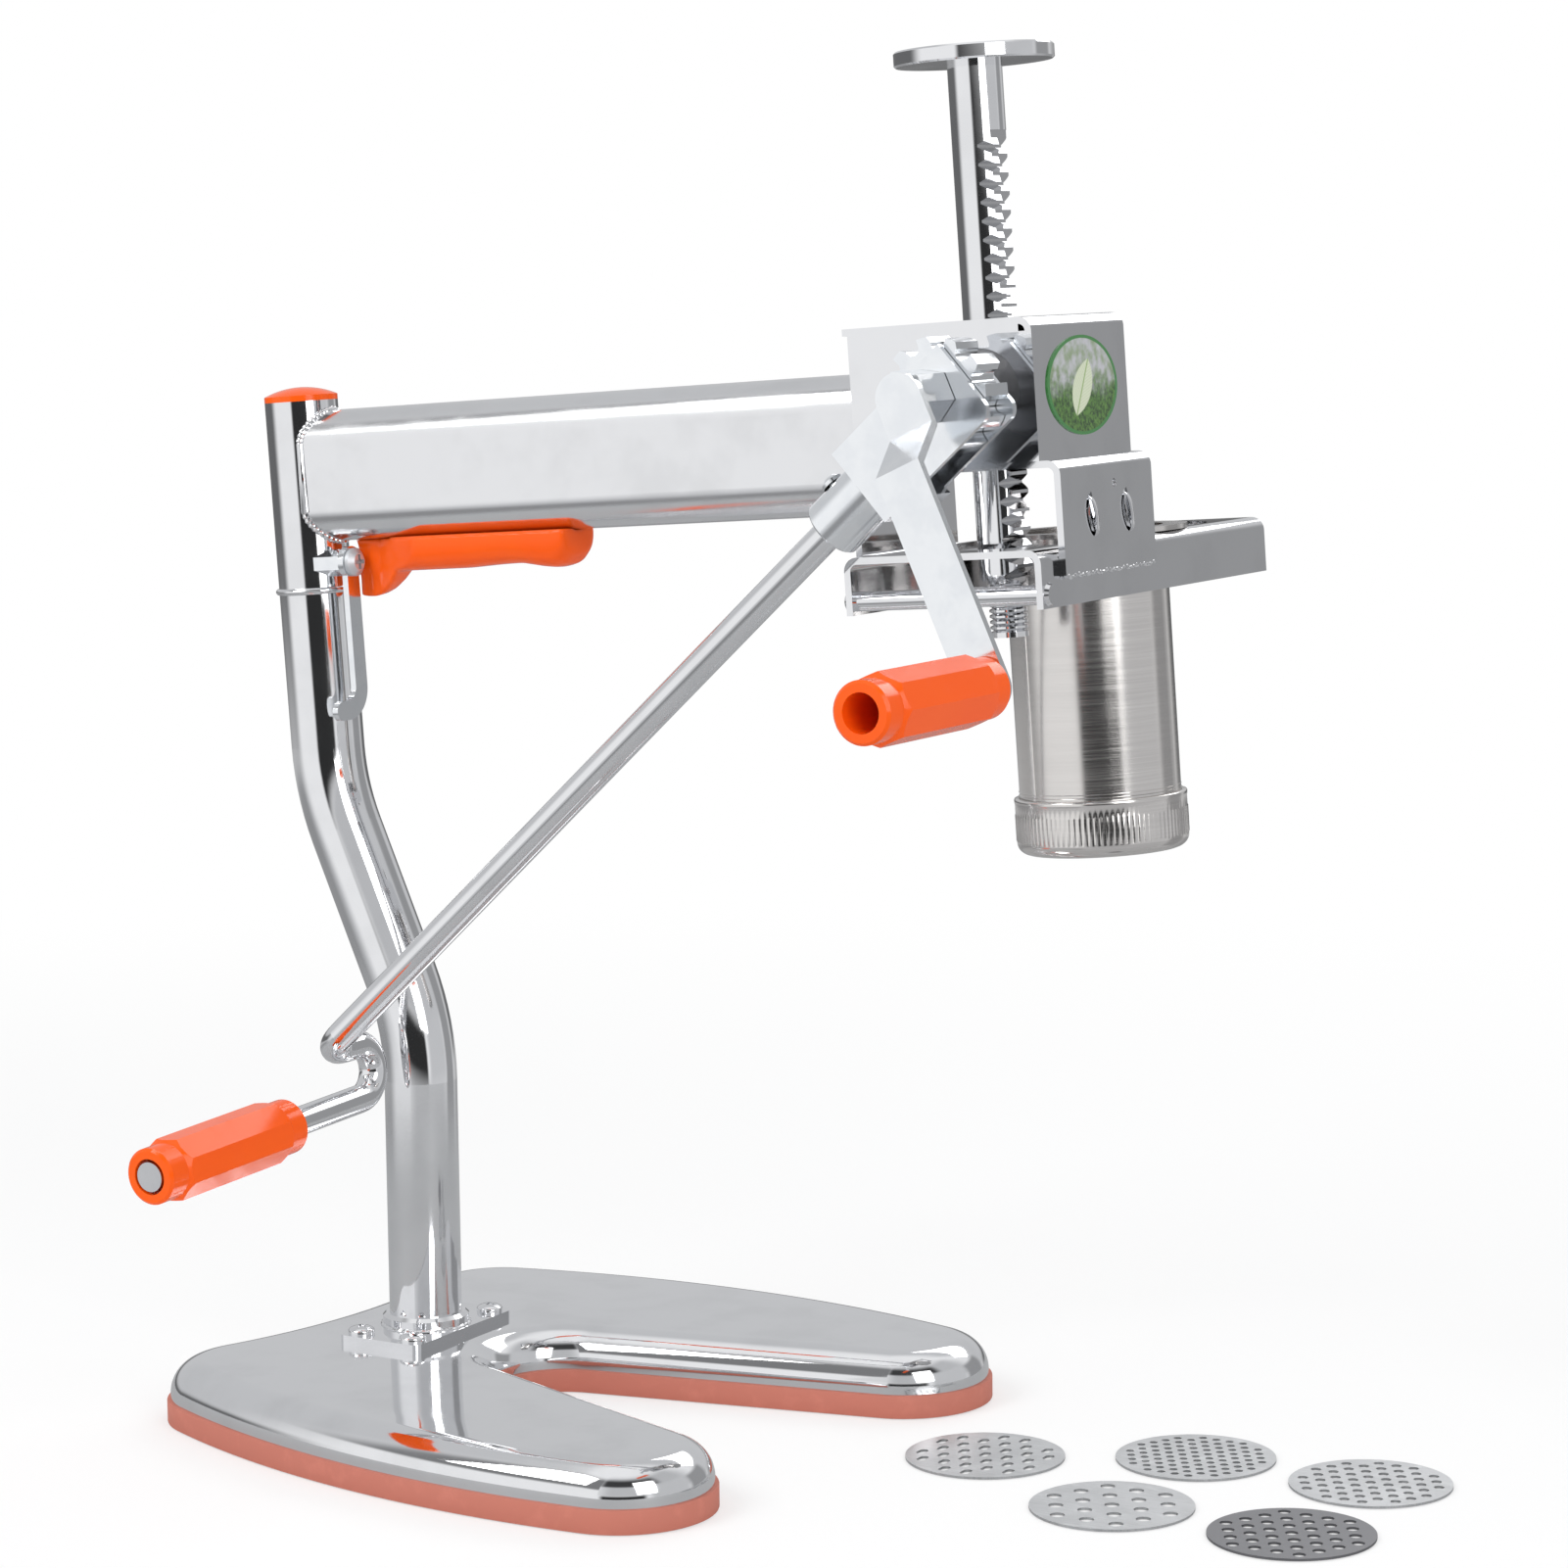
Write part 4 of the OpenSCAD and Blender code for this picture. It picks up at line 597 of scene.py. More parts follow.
def mesh_object(name: str, bm: BMesh) -> bpy.types.Object:
    """Turns a bmesh into an object of the scene and frees it."""
    mesh = bpy.data.meshes.new(name)
    bm.to_mesh(mesh)
    bm.free()
    return new_object(name, mesh)


@dataclass(frozen=True)
class Piece:
    """Makes one mesh object of the visual model and hands it to its body."""

    name: str
    slot: str
    finish: Finishes
    body: str = "stand"

    def finish_mesh(self, bm: BMesh, replaced: tuple[str, ...] = (),
                    smooth_angle: float = SHEET_ANGLE, outward: bool = True) -> None:
        """Turns a bmesh into an object that rides on the piece's body.

        Args:
            bm: The mesh; it is freed.
            replaced: CAD nodes that the piece stands for.
            smooth_angle: Edges sharper than this stay sharp, in degrees.
            outward: Whether the faces are turned outward first.
        """
        if outward:
            bmesh.ops.recalc_face_normals(bm, faces=bm.faces)
        made = mesh_object(self.name, bm)
        mesh = made.data
        mesh.polygons.foreach_set("use_smooth", [True] * len(mesh.polygons))
        mesh.set_sharp_from_angle(angle=math.radians(smooth_angle))
        mesh.materials.append(self.finish.value.material())
        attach(made, self.body)
        if replaced:
            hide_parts(*replaced)
        LOG.info("%s: %d faces on %s, for %s", self.name, len(mesh.polygons), self.body,
                 ", ".join(replaced) or "no node")

    def bead(self, paths: Sequence[Sequence[Vector]], radius: float, ripple: int = 0,
             sides: int = 10, closed: bool = True) -> None:
        """Makes the piece out of weld beads along some paths."""
        bm = bmesh.new()
        for path in paths:
            weld_bead(bm, path, radius, ripple, sides, closed)
        self.finish_mesh(bm)


def skin_rings(bm: BMesh, rings: Sequence[Sequence[Vector]], closed: bool = False) -> None:
    """Joins closed rings of points with quads, and fills the end rings if not closed."""
    loops = [[bm.verts.new(p) for p in ring] for ring in rings]
    n = len(loops[0])
    pairs = list(zip(loops, loops[1:])) + ([(loops[-1], loops[0])] if closed else [])
    for a, b in pairs:
        for i in range(n):
            bm.faces.new((a[i], a[(i + 1) % n], b[(i + 1) % n], b[i]))
    if not closed:
        bm.faces.new(loops[0])
        bm.faces.new(loops[-1])


def weld_bead(bm: BMesh, path: Sequence[Vector], radius: float, ripple: int,
              sides: int, closed: bool) -> None:
    """Lays a weld bead along a path.

    Args:
        bm: Receives the bead.
        path: Points of the path, in metres; it runs nowhere along SKEW.
        radius: Radius of the bead, in metres.
        ripple: Number of swells along the path.
        sides: Points round the bead.
        closed: Whether the last point joins the first.
    """
    n = len(path)
    rings = []
    for i, point in enumerate(path):
        after = path[(i + 1) % n] if closed or i < n - 1 else point
        before = path[i - 1] if closed or i else point
        ahead = (after - before).normalized()
        side = ahead.cross(SKEW).normalized()
        up = ahead.cross(side).normalized()
        r = radius * (1.0 + SWELL * math.sin(FULL_TURN * ripple * i / n))
        rings.append([point + r * (math.cos(t) * side + math.sin(t) * up)
                      for t in around(sides)])
    skin_rings(bm, rings, closed)


# Sub-assemblies


@dataclass(frozen=True)
class Foot:
    """Horseshoe foot: pressed chrome plate on a rubber rim. Sizes in millimetres.

    The lobe behind and the tip in front are the centre and radius of an arc.
    """

    height: float = 24.0
    sheet: float = 1.6
    edge_r: float = 13.0
    lobe: Point = (27.0, 73.0, 34.0)
    tip: Point = (165.0, 90.0, 33.0)
    slot: Span = (64.0, 26.0)
    notch_r: float = 220.0
    flank_r: float = 400.0
    turn: float = 5.0
    shift: float = 5.0
    back: float = 34.7
    rim_h: float = 9.0
    rim_out: float = 1.4
    rim_w: float = 8.0
    rim_lip: float = 0.5
    lip_share: float = 0.3
    sole: float = 3.0
    arc_steps: int = 26
    edge_steps: Count = (8, 16)

    def _arcs(self) -> list[tuple[Span, float, float, float, float]]:
        """Centre, radius, sign of the inset, first and last angle of each arc of the upper half."""
        lx, ly, lr = self.lobe
        tx, ty, tr = self.tip
        sx, sr = self.slot
        notch = (-lx - math.sqrt((self.notch_r + lr) ** 2 - ly * ly), 0.0)
        reach = math.hypot(tx - sx, ty)
        inner = math.atan2(ty, tx - sx) - math.asin((sr + tr) / reach)
        notch_angle = math.atan2(ly, -lx - notch[0])
        dx, dy = tx + lx, ty - ly
        span = math.hypot(dx, dy)
        along = ((self.flank_r - lr) ** 2 - (self.flank_r - tr) ** 2 + span * span) / (2 * span)
        across = math.sqrt((self.flank_r - lr) ** 2 - along * along)
        flank = (-lx + dx / span * along + dy / span * across,
                 ly + dy / span * along - dx / span * across)
        tip_angle = math.atan2(ty - flank[1], tx - flank[0])
        lobe_angle = math.atan2(ly - flank[1], -lx - flank[0])
        return [
            ((sx, 0.0), sr, 1.0, math.pi, QUARTER_TURN + inner),
            ((tx, ty), tr, -1.0, inner - QUARTER_TURN, tip_angle),
            (flank, self.flank_r, -1.0, tip_angle, lobe_angle),
            ((-lx, ly), lr, -1.0, lobe_angle, math.pi + notch_angle),
            (notch, self.notch_r, 1.0, notch_angle, 0.0),
        ]

    def ring(self, inset: float, z: float) -> list[Vector]:
        """Closed ring of the outline drawn in by inset, at height z, in metres."""
        half: list[Span] = []
        for (cx, cy), r, sign, a0, a1 in self._arcs():
            for i in range(self.arc_steps + 1):
                a = a0 + (a1 - a0) * i / self.arc_steps
                p = (cx + (r + sign * inset) * math.cos(a), cy + (r + sign * inset) * math.sin(a))
                if not half or i:
                    half.append(p)
        loop = half + [(x, -y) for x, y in reversed(half[1:-1])]
        t = -math.radians(self.turn)
        c, s = math.cos(t), math.sin(t)
        return [Vector((x * c - y * s - self.back, x * s + y * c + self.shift, z)) * MM
                for x, y in loop]

    def _rolled(self, top: float, r: float, inset: float, n: int) -> list[Span]:
        """Inset and height of each ring from the sole up a rolled edge of n steps."""
        quarter = [QUARTER_TURN * i / n for i in range(n + 1)]
        return [(inset, self.sole)] + [(inset + r * (1 - math.cos(a)), top - r + r * math.sin(a))
                                       for a in quarter]

    def build(self) -> None:
        """Builds the plate and its rim in place of their CAD nodes."""
        inner = self._rolled(self.height - self.sheet, self.edge_r - self.sheet, self.sheet,
                             self.edge_steps[0])
        outer = self._rolled(self.height, self.edge_r, 0.0, self.edge_steps[1])
        bm = bmesh.new()
        skin_rings(bm, [self.ring(d, z) for d, z in reversed(inner)]
                   + [self.ring(d, z) for d, z in outer])
        Piece("foot_plate", "chrome", Finishes.CHROME).finish_mesh(bm, ("base_plate",), FORM_ANGLE)
        out, w, h, lip = -self.rim_out, self.rim_w, self.rim_h, self.rim_lip
        cut = lip * self.lip_share
        section = [(w, 0.0), (w, self.sole), (0.0, self.sole), (0.0, h), (out + lip, h),
                   (out + cut, h - cut), (out, h - lip), (out, lip), (out + cut, cut),
                   (out + lip, 0.0)]
        bm = bmesh.new()
        skin_rings(bm, [self.ring(d, z) for d, z in section], closed=True)
        Piece("foot_rim", "rubber_rim", Finishes.RIM).finish_mesh(bm, ("base_rim",), FORM_ANGLE)


@dataclass(frozen=True)
class PanHead:
    """Domed screw head with a cross recess. Sizes in millimetres."""

    radius: float = 5.2
    height: float = 3.1
    straight: float = 1.1
    arm: float = 2.1
    half_slot: float = 0.5
    depth: float = 1.2
    corner_steps: int = 3
    dome_shares: tuple[float, ...] = (0.15, 0.3, 0.5, 0.7, 0.85, 1.0)
    floor_share: float = 0.8

    def _reach(self, a: float) -> float:
        """Distance from the axis to the recess's outline at angle a."""
        c, s = abs(math.cos(a)), abs(math.sin(a))
        return min(self.arm / max(c, s), self.half_slot / max(min(c, s), TINY))

    def _angles(self) -> list[float]:
        """Angles round the head that meet each corner of the recess."""
        corner, middle = math.atan2(self.half_slot, self.arm), QUARTER_TURN / 2
        step = (middle - corner) / self.corner_steps
        octant = [0.0, corner / 2] + [corner + i * step for i in range(self.corner_steps)]
        quarter = octant + [middle] + [QUARTER_TURN - a for a in reversed(octant[1:])]
        return [a + k * QUARTER_TURN for k in range(4) for a in quarter]

    def _dome(self, r: float) -> float:
        """Height of the dome at a distance from its axis."""
        bulge = math.sqrt(1 - min(1.0, r / self.radius) ** 2)
        return self.straight + (self.height - self.straight) * bulge

    def lay(self, bm: BMesh, foot: Vector) -> None:
        """Adds one head that stands at foot, in millimetres."""
        angles = self._angles()
        rings = [[polar(self.radius, a, z) for a in angles] for z in (0.0, self.straight)]
        for share in self.dome_shares:
            across = math.cos(share * QUARTER_TURN)
            ring = []
            for a in angles:
                inner = self._reach(a)
                r = inner + (self.radius - inner) * across
                ring.append(polar(r, a, self._dome(r)))
            rings.append(ring)
        rings.append([polar(self.floor_share * self._reach(a), a, self.height - self.depth)
                      for a in angles])
        skin_rings(bm, [[(foot + p) * MM for p in ring] for ring in rings])


@dataclass(frozen=True)
class Column:
    """Weld beads of the bent column. Sizes in millimetres."""

    diameter: float = 28.6
    foot_x: float = -34.7
    collar_r: float = 17.0
    flange_t: float = 3.0
    bead: float = 0.9
    bead_steps: Count = (120, 140)
    bead_swells: Count = (34, 46)
    arm_bead_gain: float = 1.5
    arm_bead_out: float = 0.2
    arm_width: float = 25.0
    arm_height: float = 51.0
    arm_drop: float = 4.2
    screw_pitch: Span = (24.5, 53.0)

    def build(self) -> None:
        """Lays the bead where the collar meets its flange, the arm's weld and the screw heads."""
        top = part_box("column_flange")[0].z / MM + self.flange_t
        foot = Vector((self.foot_x, 0.0, top))
        path = [(foot + polar(self.collar_r, a)) * MM for a in around(self.bead_steps[0])]
        weld = Piece("collar_weld", "chrome", Finishes.SATIN)
        weld.bead([path], self.bead * MM, self.bead_swells[0])
        self._arm_weld()
        low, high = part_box("flange_screws")
        middle = (low + high) / 2 / MM
        bm = bmesh.new()
        for sx, sy in ((-0.5, -0.5), (-0.5, 0.5), (0.5, -0.5), (0.5, 0.5)):
            PanHead().lay(bm, Vector((middle.x + sx * self.screw_pitch[0],
                                      middle.y + sy * self.screw_pitch[1], top)))
        Piece("flange_screw_heads", "chrome", Finishes.CHROME).finish_mesh(bm)

    def _arm_weld(self) -> None:
        """Lays the bead where the arm's tube meets the column's round side."""
        r, half = self.arm_width / 2, (self.arm_height - self.arm_width) / 2
        middle = -self.arm_drop - self.arm_height / 2
        path = []
        for a in around(self.bead_steps[1]):
            y = r * math.cos(a)
            x = math.sqrt((self.diameter / 2) ** 2 - y * y) + self.arm_bead_out
            z = middle + r * math.sin(a) + math.copysign(half, math.sin(a))
            path.append(head_point(x, y, z))
        weld = Piece("arm_column_weld", "chrome", Finishes.CHROME)
        weld.bead([path], self.arm_bead_gain * self.bead * MM, self.bead_swells[1])


@dataclass(frozen=True)
class Arm:
    """Weld of the flattened tube and the moulded grip under it. Sizes in millimetres."""

    width: float = 25.0
    height: float = 51.0
    centre_z: float = -29.7
    weld_x: float = 268.1
    bead: float = 1.0
    bead_swells: int = 40
    half_steps: int = 30
    grip_voxel: float = 0.9
    grip_cuts: tuple[Cut, ...] = (
        (((-20.0, -30.0), (200.0, -30.0), (200.0, 30.0), (-20.0, 30.0)), -54.5, -40.0),
        (((-20.0, -30.0), (22.0, -30.0), (22.0, 30.0), (-20.0, 30.0)), -110.0, -50.0),
        (((-20.0, -30.0), (62.0, -30.0), (58.0, -12.2), (33.0, -1.2), (-20.0, -1.2)),
         -110.0, -50.0),
    )

    def _outline(self) -> list[Vector]:
        """Closed outline of the tube at its weld, in metres."""
        r, flat = self.width / 2, (self.height - self.width) / 2
        points = []
        for sign, start in ((1, 0.0), (-1, math.pi)):
            for i in range(self.half_steps + 1):
                a = start + math.pi * i / self.half_steps
                points.append(head_point(self.weld_x, r * math.cos(a),
                                         self.centre_z + sign * flat + r * math.sin(a)))
        return points

    def build(self) -> None:
        """Lays the weld where the arm meets the gear box and smooths the grip."""
        weld = Piece("arm_box_weld", "chrome", Finishes.SATIN)
        weld.bead([self._outline()], self.bead * MM, self.bead_swells)
        grip = Piece("moulded_grip", "orange", Finishes.ORANGE)
        smooth_copy("arm_grip", grip, self.grip_voxel * MM, self.grip_cuts)


@dataclass(frozen=True)
class PressHead:
    """Weld beads and pressed hoods of the yoke. Sizes in millimetres, in the head frame."""

    side_x: Span = (266.3, 347.7)
    y: Span = (-33.0, 36.0)
    z: float = -78.4
    bead: float = 0.9
    bead_steps: int = 110
    bead_swells: int = 26
    bead_waver: float = 0.5
    waver_pace: Span = (0.83, 0.31)
    face_out: float = 0.8
    hood_y: Span = (-10.3, 17.4)
    hood_z: float = -59.0
    hood: Point = (14.5, 4.6, 2.6)
    hood_slant: float = 10.0
    hood_wall: float = 0.6
    hood_sink: float = 0.3
    hood_reach: float = 0.985
    hood_fullness: float = 0.4
    hood_steps: Count = (24, 12)

    def _hood(self, bm: BMesh, x: float, y: float) -> None:
        """Adds a pressed hood that is open towards the crank, on the face at x."""
        length, width, height = self.hood
        slant = math.radians(self.hood_slant)
        last, quarter = self.hood_steps
        rings = []
        for i in range(last + 1):
            v = self.hood_reach * (2 * i / last - 1)
            bulge = math.sqrt(1 - v * v)
            along = v * length / 2
            ring = []
            for wall, turns in ((0.0, range(quarter + 1)),
                                (self.hood_wall, range(quarter, -1, -1))):
                for k in turns:
                    u = k / quarter * QUARTER_TURN
                    across = (width * bulge ** self.hood_fullness - wall) * math.sin(u) - width / 2
                    out = (height - wall) * bulge * math.cos(u) - self.hood_sink
                    ring.append(head_point(x + out, y + across - along * math.sin(slant),
                                           self.hood_z + along * math.cos(slant)))
            rings.append(ring)
        skin_rings(bm, rings)

    def _bead_path(self, x: float) -> list[Vector]:
        """Wavering path under the leg of the yoke at x, in metres."""
        (y0, y1), (quick, slow), n = self.y, self.waver_pace, self.bead_steps
        return [head_point(x, y0 + (y1 - y0) * i / n,
                           self.z + self.bead_waver * math.sin(i * quick) * math.sin(i * slow))
                for i in range(n + 1)]

    def build(self) -> None:
        """Adds the yoke's two hoods and lays a bead under each of its legs."""
        bm = bmesh.new()
        for y in self.hood_y:
            self._hood(bm, self.side_x[1] + self.face_out, y)
        Piece("yoke_hoods", "chrome", Finishes.CHROME).finish_mesh(bm)
        for name, x in zip(("column_side", "outer_side"), self.side_x):
            weld = Piece(f"yoke_weld_{name}", "chrome", Finishes.CHROME)
            weld.bead([self._bead_path(x)], self.bead * MM, self.bead_swells, closed=False)


@dataclass(frozen=True)
class Barrel:
    """Barrel trim and the knurled screw cap. Sizes in millimetres, in the head frame."""

    x: float = 307.0
    y: float = 63.0
    low: float = -185.7
    outer_r: float = 30.0
    top: float = -70.5
    cap_h: float = 21.0
    cap_r: float = 32.15
    mouth_r: float = 25.0
    lip: float = 1.6
    round_r: float = 4.5
    round_steps: int = 7
    knurl: Span = (5.2, 15.0)
    knurl_ends: float = 0.25
    ribs: int = 96
    rib_points: int = 4
    depth: float = 0.34
    body_share: float = 0.6
    rim_drops: tuple[float, ...] = (2.4, 1.6, 0.7, 0.15)
    rim_swell: float = 0.15
    rim_round: Span = (0.2, 0.6)
    chamfer: float = 0.3
    thread_gap: float = 0.06
    seam_angle: float = -115.7
    seam_gap: float = 2.0
    seam_r: float = 0.22
    seam_steps: int = 40
    bead_heights: Span = (1.1, 2.3)
    bead_r: float = 0.2
    bead_points: int = 144

    def _ring(self, r: float, z: float, wave: float, n: int) -> list[Vector]:
        """Ring of n points round the barrel's axis; wave is the depth of the ribs."""
        ring = []
        for a in around(n):
            spoke = polar(r - wave * (0.5 - 0.5 * math.cos(self.ribs * a)), a, z)
            ring.append(head_point(self.x + spoke.x, self.y + spoke.y, self.low + spoke.z))
        return ring

    def _profile(self) -> list[Point]:
        """Radius, height and rib depth of each ring of the cap, from the mouth out and round."""
        body = self.cap_r - self.depth * self.body_share
        turns = [QUARTER_TURN * i / self.round_steps for i in range(self.round_steps + 1)]
        bottom = [(body - self.round_r * (1 - math.sin(a)), self.round_r * (1 - math.cos(a)))
                  for a in turns]
        (k0, k1), end = self.knurl, self.knurl_ends
        band = [(body, k0 - end, 0.0), (self.cap_r, k0 + end, self.depth),
                (self.cap_r, k1 - end, self.depth), (body, k1 + end, 0.0)]
        below, swollen, upper, edge = (self.cap_h - drop for drop in self.rim_drops)
        bore, mouth = self.outer_r + self.thread_gap, self.mouth_r + self.chamfer
        rim = [(body, below), (body + self.rim_swell, swollen), (self.cap_r, upper),
               (self.cap_r - self.rim_round[0], edge),
               (self.cap_r - self.rim_round[1], self.cap_h),
               (self.outer_r + self.chamfer, self.cap_h), (bore, self.cap_h - self.chamfer)]
        inside = [(bore, self.lip), (mouth, self.lip), (self.mouth_r, self.lip - self.chamfer),
                  (self.mouth_r, self.chamfer), (mouth, 0.0)]
        return ([(r, z, 0.0) for r, z in bottom] + band
                + [(r, z, 0.0) for r, z in rim + inside])

    def _seam(self) -> list[Vector]:
        """Path of the barrel's welded seam, in metres."""
        a = math.radians(self.seam_angle)
        x, y = self.x + self.outer_r * math.cos(a), self.y + self.outer_r * math.sin(a)
        low = self.low + self.cap_h + self.seam_gap
        return [head_point(x, y, low + (self.top - low) * i / self.seam_steps)
                for i in range(self.seam_steps + 1)]

    def build(self) -> None:
        """Turns the cap and lays the barrel's seam and the beads above the cap."""
        n = self.rib_points * self.ribs
        bm = bmesh.new()
        skin_rings(bm, [self._ring(r, z, w, n) for r, z, w in self._profile()], closed=True)
        cap = Piece("knurled_cap", "stainless", Finishes.TURNED, "cap")
        cap.finish_mesh(bm, ("screw_cap",), TURNED_ANGLE)
        seam = Piece("barrel_seam", "stainless", Finishes.TURNED, "barrel")
        seam.bead([self._seam()], self.seam_r * MM, sides=8, closed=False)
        rings = [self._ring(self.outer_r, self.cap_h + height, 0.0, self.bead_points)
                 for height in self.bead_heights]
        beading = Piece("barrel_beading", "stainless", Finishes.TURNED, "barrel")
        beading.bead(rings, self.bead_r * MM, sides=6)


def head_block(cut: Cut) -> bpy.types.Object:
    """A prism that stands upright in the head frame, for cutting."""
    outline, low, high = cut
    bm = bmesh.new()
    skin_rings(bm, [[head_point(x, y, z) for x, y in outline] for z in (low, high)])
    bmesh.ops.recalc_face_normals(bm, faces=bm.faces)
    return mesh_object("cutter", bm)


def smooth_copy(node: str, piece: Piece, voxel: float, cuts: Sequence[Cut] = ()) -> None:
    """Stands a remeshed, smoothed copy in for a CAD node.

    Args:
        node: The CAD node.
        piece: The new piece.
        voxel: Cell of the remesh, in metres.
        cuts: Prisms cut away first, in the head frame.
    """
    work = new_object(f"{piece.name}_work", bpy.data.objects[node].data.copy())
    cutters = [head_block(cut) for cut in cuts]
    for cutter in cutters:
        cut = work.modifiers.new("cut", "BOOLEAN")
        cut.operation, cut.solver, cut.object = "DIFFERENCE", "EXACT", cutter
    remesh = work.modifiers.new("remesh", "REMESH")
    remesh.mode, remesh.voxel_size = "VOXEL", voxel
    smooth = work.modifiers.new("smooth", "SMOOTH")
    smooth.factor, smooth.iterations = SMOOTHING, SMOOTH_ROUNDS
    shape = work.evaluated_get(bpy.context.evaluated_depsgraph_get()).to_mesh()
    bm = bmesh.new()
    bm.from_mesh(shape)
    work.to_mesh_clear()
    for spent in (work, *cutters):
        bpy.data.objects.remove(spent)
    piece.finish_mesh(bm, (node,), MOULDED_ANGLE, outward=False)


def dress_nodes(nodes: dict[str, bpy.types.Object]) -> None:
    """Gives every CAD node its finish."""
    for finish, names in NODE_FINISH.items():
        material = finish.value.material()
        for name in names:
            mesh = nodes[name].data
            mesh.materials.clear()
            mesh.materials.append(material)
            LOG.info("%s: %s", name, finish.value.name)
    missing = set(nodes) - {n for names in NODE_FINISH.values() for n in names}
    if missing:
        LOG.warning("no finish for %s", sorted(missing))


@dataclass(frozen=True)
class Softbox:
    """One area lamp. Places in metres, power in watts."""

    name: str
    place: Point
    size: Span
    power: float


@dataclass(frozen=True)
class Card:
    """A grey card seen only in reflections: angles from +Y towards +X, heights as slopes."""

    middle: float
    half: float
    soft: float
    tone: float
    low: float
    top: float
    low_soft: float = 0.05
    top_soft: float = 0.07
    tint: Colour = (1.0, 1.01, 1.03)

    def over(self, graph: Graph, shade: Value, turn: Socket, rise: Socket) -> Socket:
        """Lays the card over a shade."""
        beside = abs(turn - self.middle).ramp(self.half - self.soft, self.half + self.soft)
        above = rise.ramp(self.low - self.low_soft, self.low + self.low_soft)
        over = rise.ramp(self.top - self.top_soft, self.top + self.top_soft)
        mask = (1.0 - beside) * above * (1.0 - over)
        return graph.mix(mask, shade, toned(self.tint, (self.tone,) * 3))


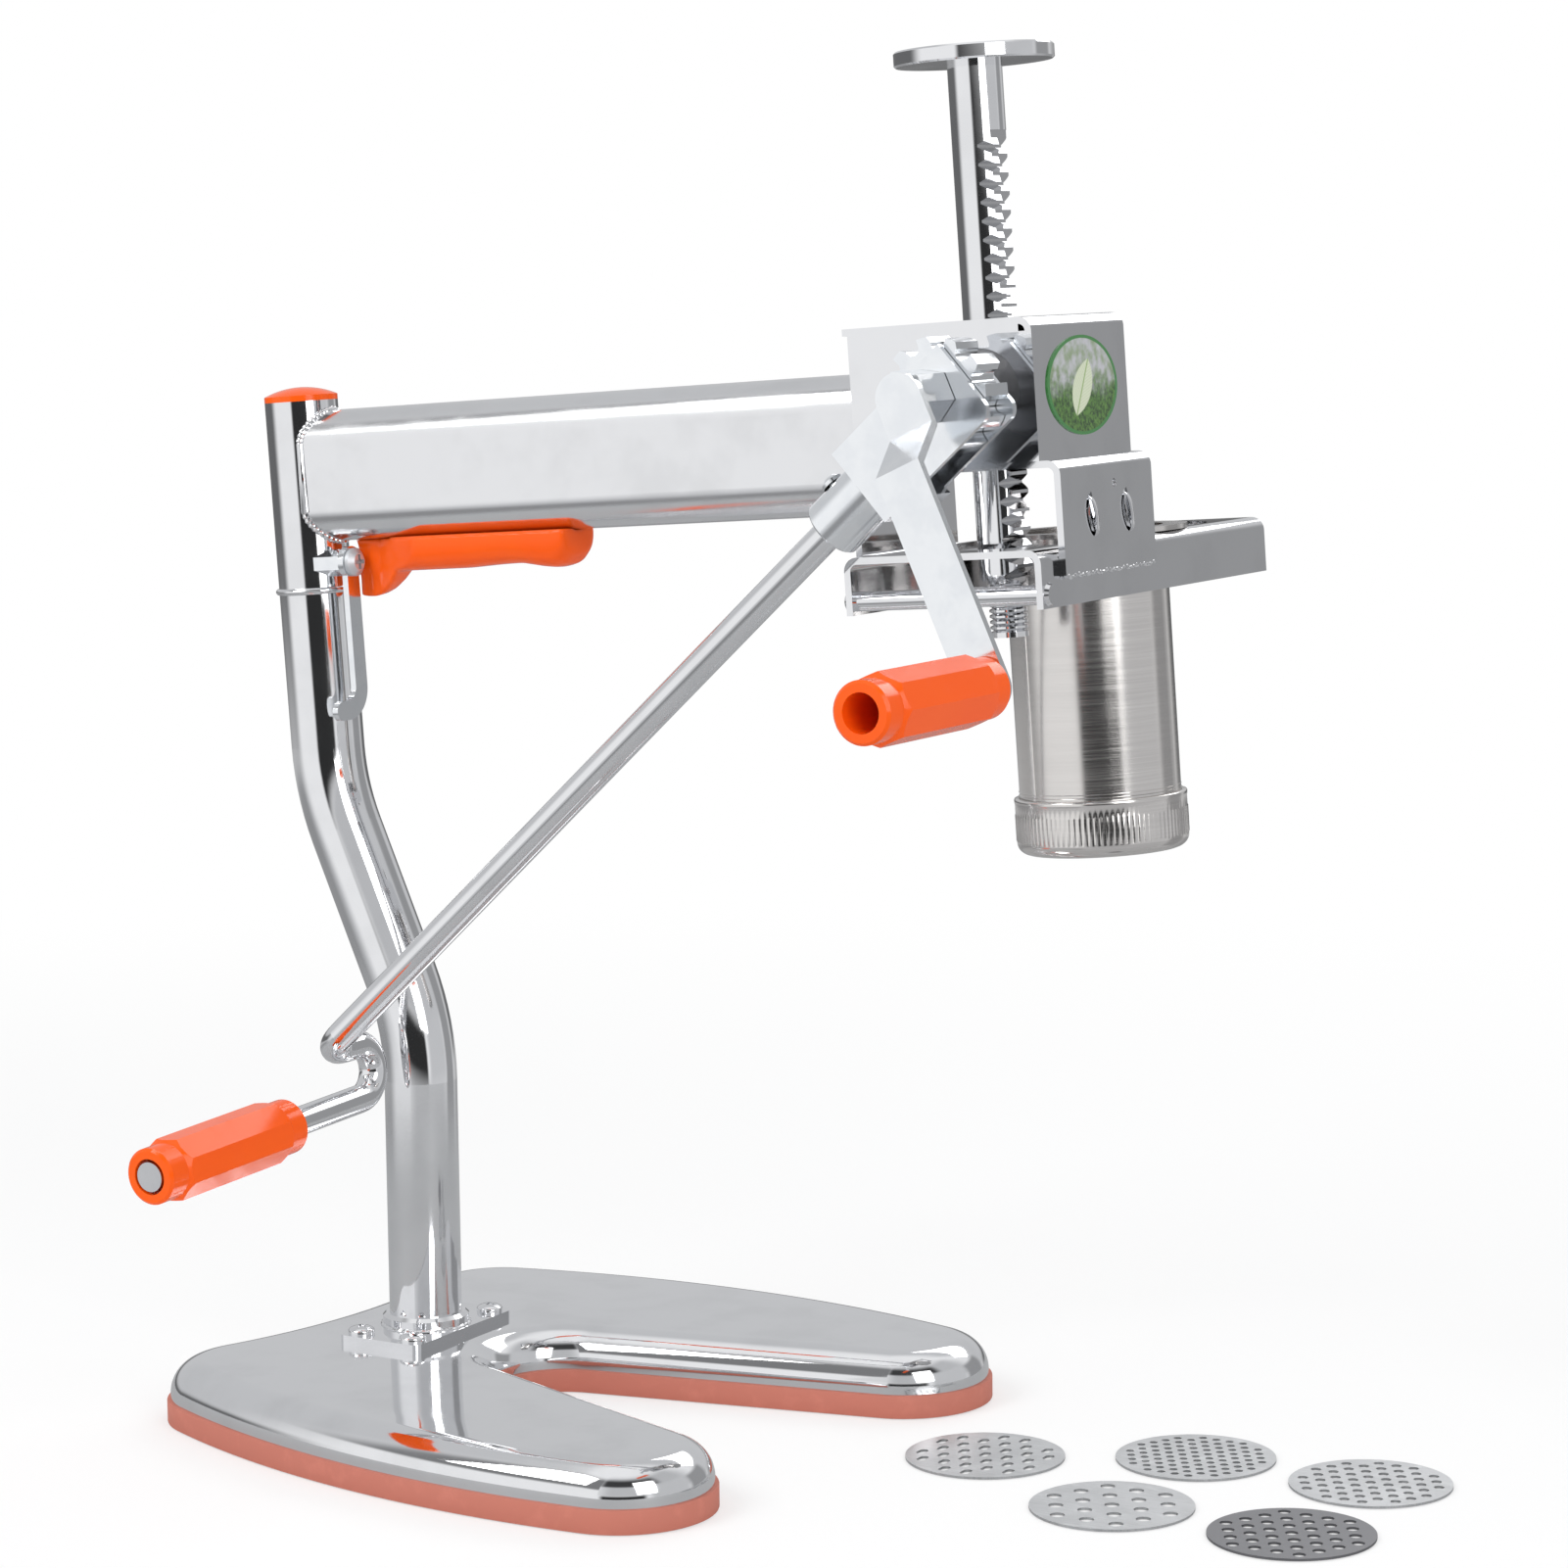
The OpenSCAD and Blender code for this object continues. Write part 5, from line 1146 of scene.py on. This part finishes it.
@dataclass(frozen=True)
class Studio:
    """White backdrop, soft lamps and the camera of the photograph."""

    target: Point = (0.1331, 0.0, 0.2513)
    azimuth: float = 30.77
    elevation: float = 7.31
    distance: float = 1.6028
    focal: float = 4420.8
    frame_px: float = 1601.0
    roll: float = -0.63
    sensor: float = 36.0
    clip: Span = (0.05, 60.0)
    lamps: tuple[Softbox, ...] = (
        Softbox("key_lamp", (-0.7, -1.3, 1.5), (0.9, 0.9), 16.0),
        Softbox("fill_lamp", (1.5, -0.8, 0.9), (0.8, 1.2), 9.0),
        Softbox("back_lamp", (0.2, 1.5, 1.3), (1.4, 0.6), 7.0),
    )
    cards: tuple[Card, ...] = (
        Card(0.0, 3.3, 0.2, 0.60, -1.2, -0.20),
        Card(-2.75, 0.75, 0.25, 0.28, -1.2, -0.34),
        Card(-2.75, 0.80, 0.25, 0.22, 0.42, 0.85),
        Card(-0.90, 1.15, 0.30, 0.32, -1.2, -0.16),
        Card(2.00, 1.00, 0.30, 0.50, -1.2, -0.16),
        Card(-0.80, 1.20, 0.25, 0.60, 0.08, 0.90),
        Card(-0.92, 1.12, 0.22, 0.15, -0.14, 0.08),
        Card(1.95, 1.15, 0.30, 0.55, 0.16, 0.90),
        Card(0.62, 0.32, 0.10, 0.33, -0.60, 0.45),
        Card(1.45, 0.50, 0.12, 0.60, -0.16, 0.55),
        Card(2.58, 0.50, 0.07, 0.03, -0.16, 0.13),
        Card(2.40, 0.75, 0.15, 0.05, 0.58, 0.84),
    )
    beyond_cards: Colour = (0.94, 0.943, 0.949)
    daylight: Colour = (0.62, 0.625, 0.63)
    floor_half: float = 9.0
    floor_cells: int = 8
    floor_drop: float = 0.0003
    mottle: Layer = Layer(3.0, 2.0)
    papers: tuple[Colour, Colour] = ((0.93, 0.93, 0.93), (0.95, 0.95, 0.95))
    mirrored_paper: Colour = (0.42, 0.425, 0.43)
    paper_roughness: float = 0.75
    glow_rise: tuple[float, ...] = (0.35, 1.3, 0.55, 1.0)
    floor_end: Span = (0.384, 0.64)

    def camera(self) -> None:
        """Sets the camera."""
        a, e, r = (math.radians(v) for v in (self.azimuth, self.elevation, self.roll))
        back = Vector((math.sin(a) * math.cos(e), -math.cos(a) * math.cos(e), math.sin(e)))
        right = Vector((math.cos(a), math.sin(a), 0.0))
        up = back.cross(right)
        turned = math.cos(r) * right + math.sin(r) * up
        upright = -math.sin(r) * right + math.cos(r) * up
        data = bpy.data.cameras.new("photo_camera")
        data.sensor_width = self.sensor
        data.lens = self.sensor * self.focal / self.frame_px
        data.clip_start, data.clip_end = self.clip
        made = new_object("photo_camera", data)
        place = Vector(self.target) + back * self.distance
        rows = Matrix((turned, upright, back)).transposed().to_4x4()
        made.matrix_world = Matrix.Translation(place) @ rows
        bpy.context.scene.camera = made

    def lights(self) -> None:
        """Adds the lamps, aimed at the object."""
        for lamp in self.lamps:
            data = bpy.data.lights.new(lamp.name, "AREA")
            data.shape = "RECTANGLE"
            data.size, data.size_y = lamp.size
            data.energy = lamp.power
            made = new_object(lamp.name, data)
            made.location = lamp.place
            aim = Vector(self.target) - Vector(lamp.place)
            made.rotation_euler = aim.to_track_quat("-Z", "Y").to_euler()

    def floor(self) -> None:
        """Lays the pale floor: white seen directly, grey in reflections and clear far out."""
        bm = bmesh.new()
        bmesh.ops.create_grid(bm, x_segments=self.floor_cells, y_segments=self.floor_cells,
                              size=self.floor_half)
        made = mesh_object("studio_floor", bm)
        made.location = (0.0, 0.0, -self.floor_drop)
        material, graph = new_material("floor_white")
        seen, mirrored = graph.rays()
        white_paper = graph.mix(self.mottle.read(graph), *self.papers)
        paper = graph.node("ShaderNodeBsdfPrincipled", {
            "Base Color": graph.mix(mirrored, white_paper, self.mirrored_paper),
            "Roughness": self.paper_roughness})
        glow = graph.node("ShaderNodeEmission", {"Color": (*WHITE, 1.0)})
        away = graph.vector("LENGTH", graph.place(), out="Value")
        white = seen * away.ramp(*self.glow_rise)
        lit = graph.node("ShaderNodeMixShader", {0: white, 1: paper, 2: glow})
        beyond = (1.0 - seen) * away.ramp(*self.floor_end)
        clear = graph.node("ShaderNodeBsdfTransparent")
        graph.surface(graph.node("ShaderNodeMixShader", {0: beyond, 1: lit, 2: clear}))
        made.data.materials.append(material)

    def sky(self) -> None:
        """White seen directly; reflections get a soft studio with darker stretches between."""
        world = bpy.data.worlds.new("studio_world")
        bpy.context.scene.world = world
        world.use_nodes = True
        graph = Graph(world.node_tree)
        direction = graph.node("ShaderNodeTexCoord", out="Generated")
        parts = graph.make("ShaderNodeSeparateXYZ", {0: direction})
        x, y, z = (Socket(graph, parts.outputs[i]) for i in range(3))
        turn = x.angle(y)
        shade: Value = self.beyond_cards
        for card in self.cards:
            shade = card.over(graph, shade, turn, z)
        seen, mirrored = graph.rays()
        colour = graph.mix(seen, graph.mix(mirrored, self.daylight, shade), WHITE)
        graph.surface(graph.node("ShaderNodeBackground", {"Color": colour, "Strength": 1.0}))

    def build(self) -> None:
        """Builds the studio."""
        self.camera()
        self.lights()
        self.floor()
        self.sky()
        bpy.context.scene.view_settings.view_transform = "Standard"
        LOG.info("studio: %d lamps, %d cards", len(self.lamps), len(self.cards))


def main() -> None:
    """Builds and dresses the press."""
    logging.basicConfig(level=logging.INFO, format="%(name)s %(message)s")
    for stray in list(bpy.data.objects):
        bpy.data.objects.remove(stray)
    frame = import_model()
    dress_nodes(frame["nodes"])
    builders: tuple[Callable[[], None], ...] = (
        Foot().build, Column().build, Arm().build, PressHead().build, Barrel().build,
        Studio().build,
    )
    for build in builders:
        build()


if __name__ == "__main__":
    main()
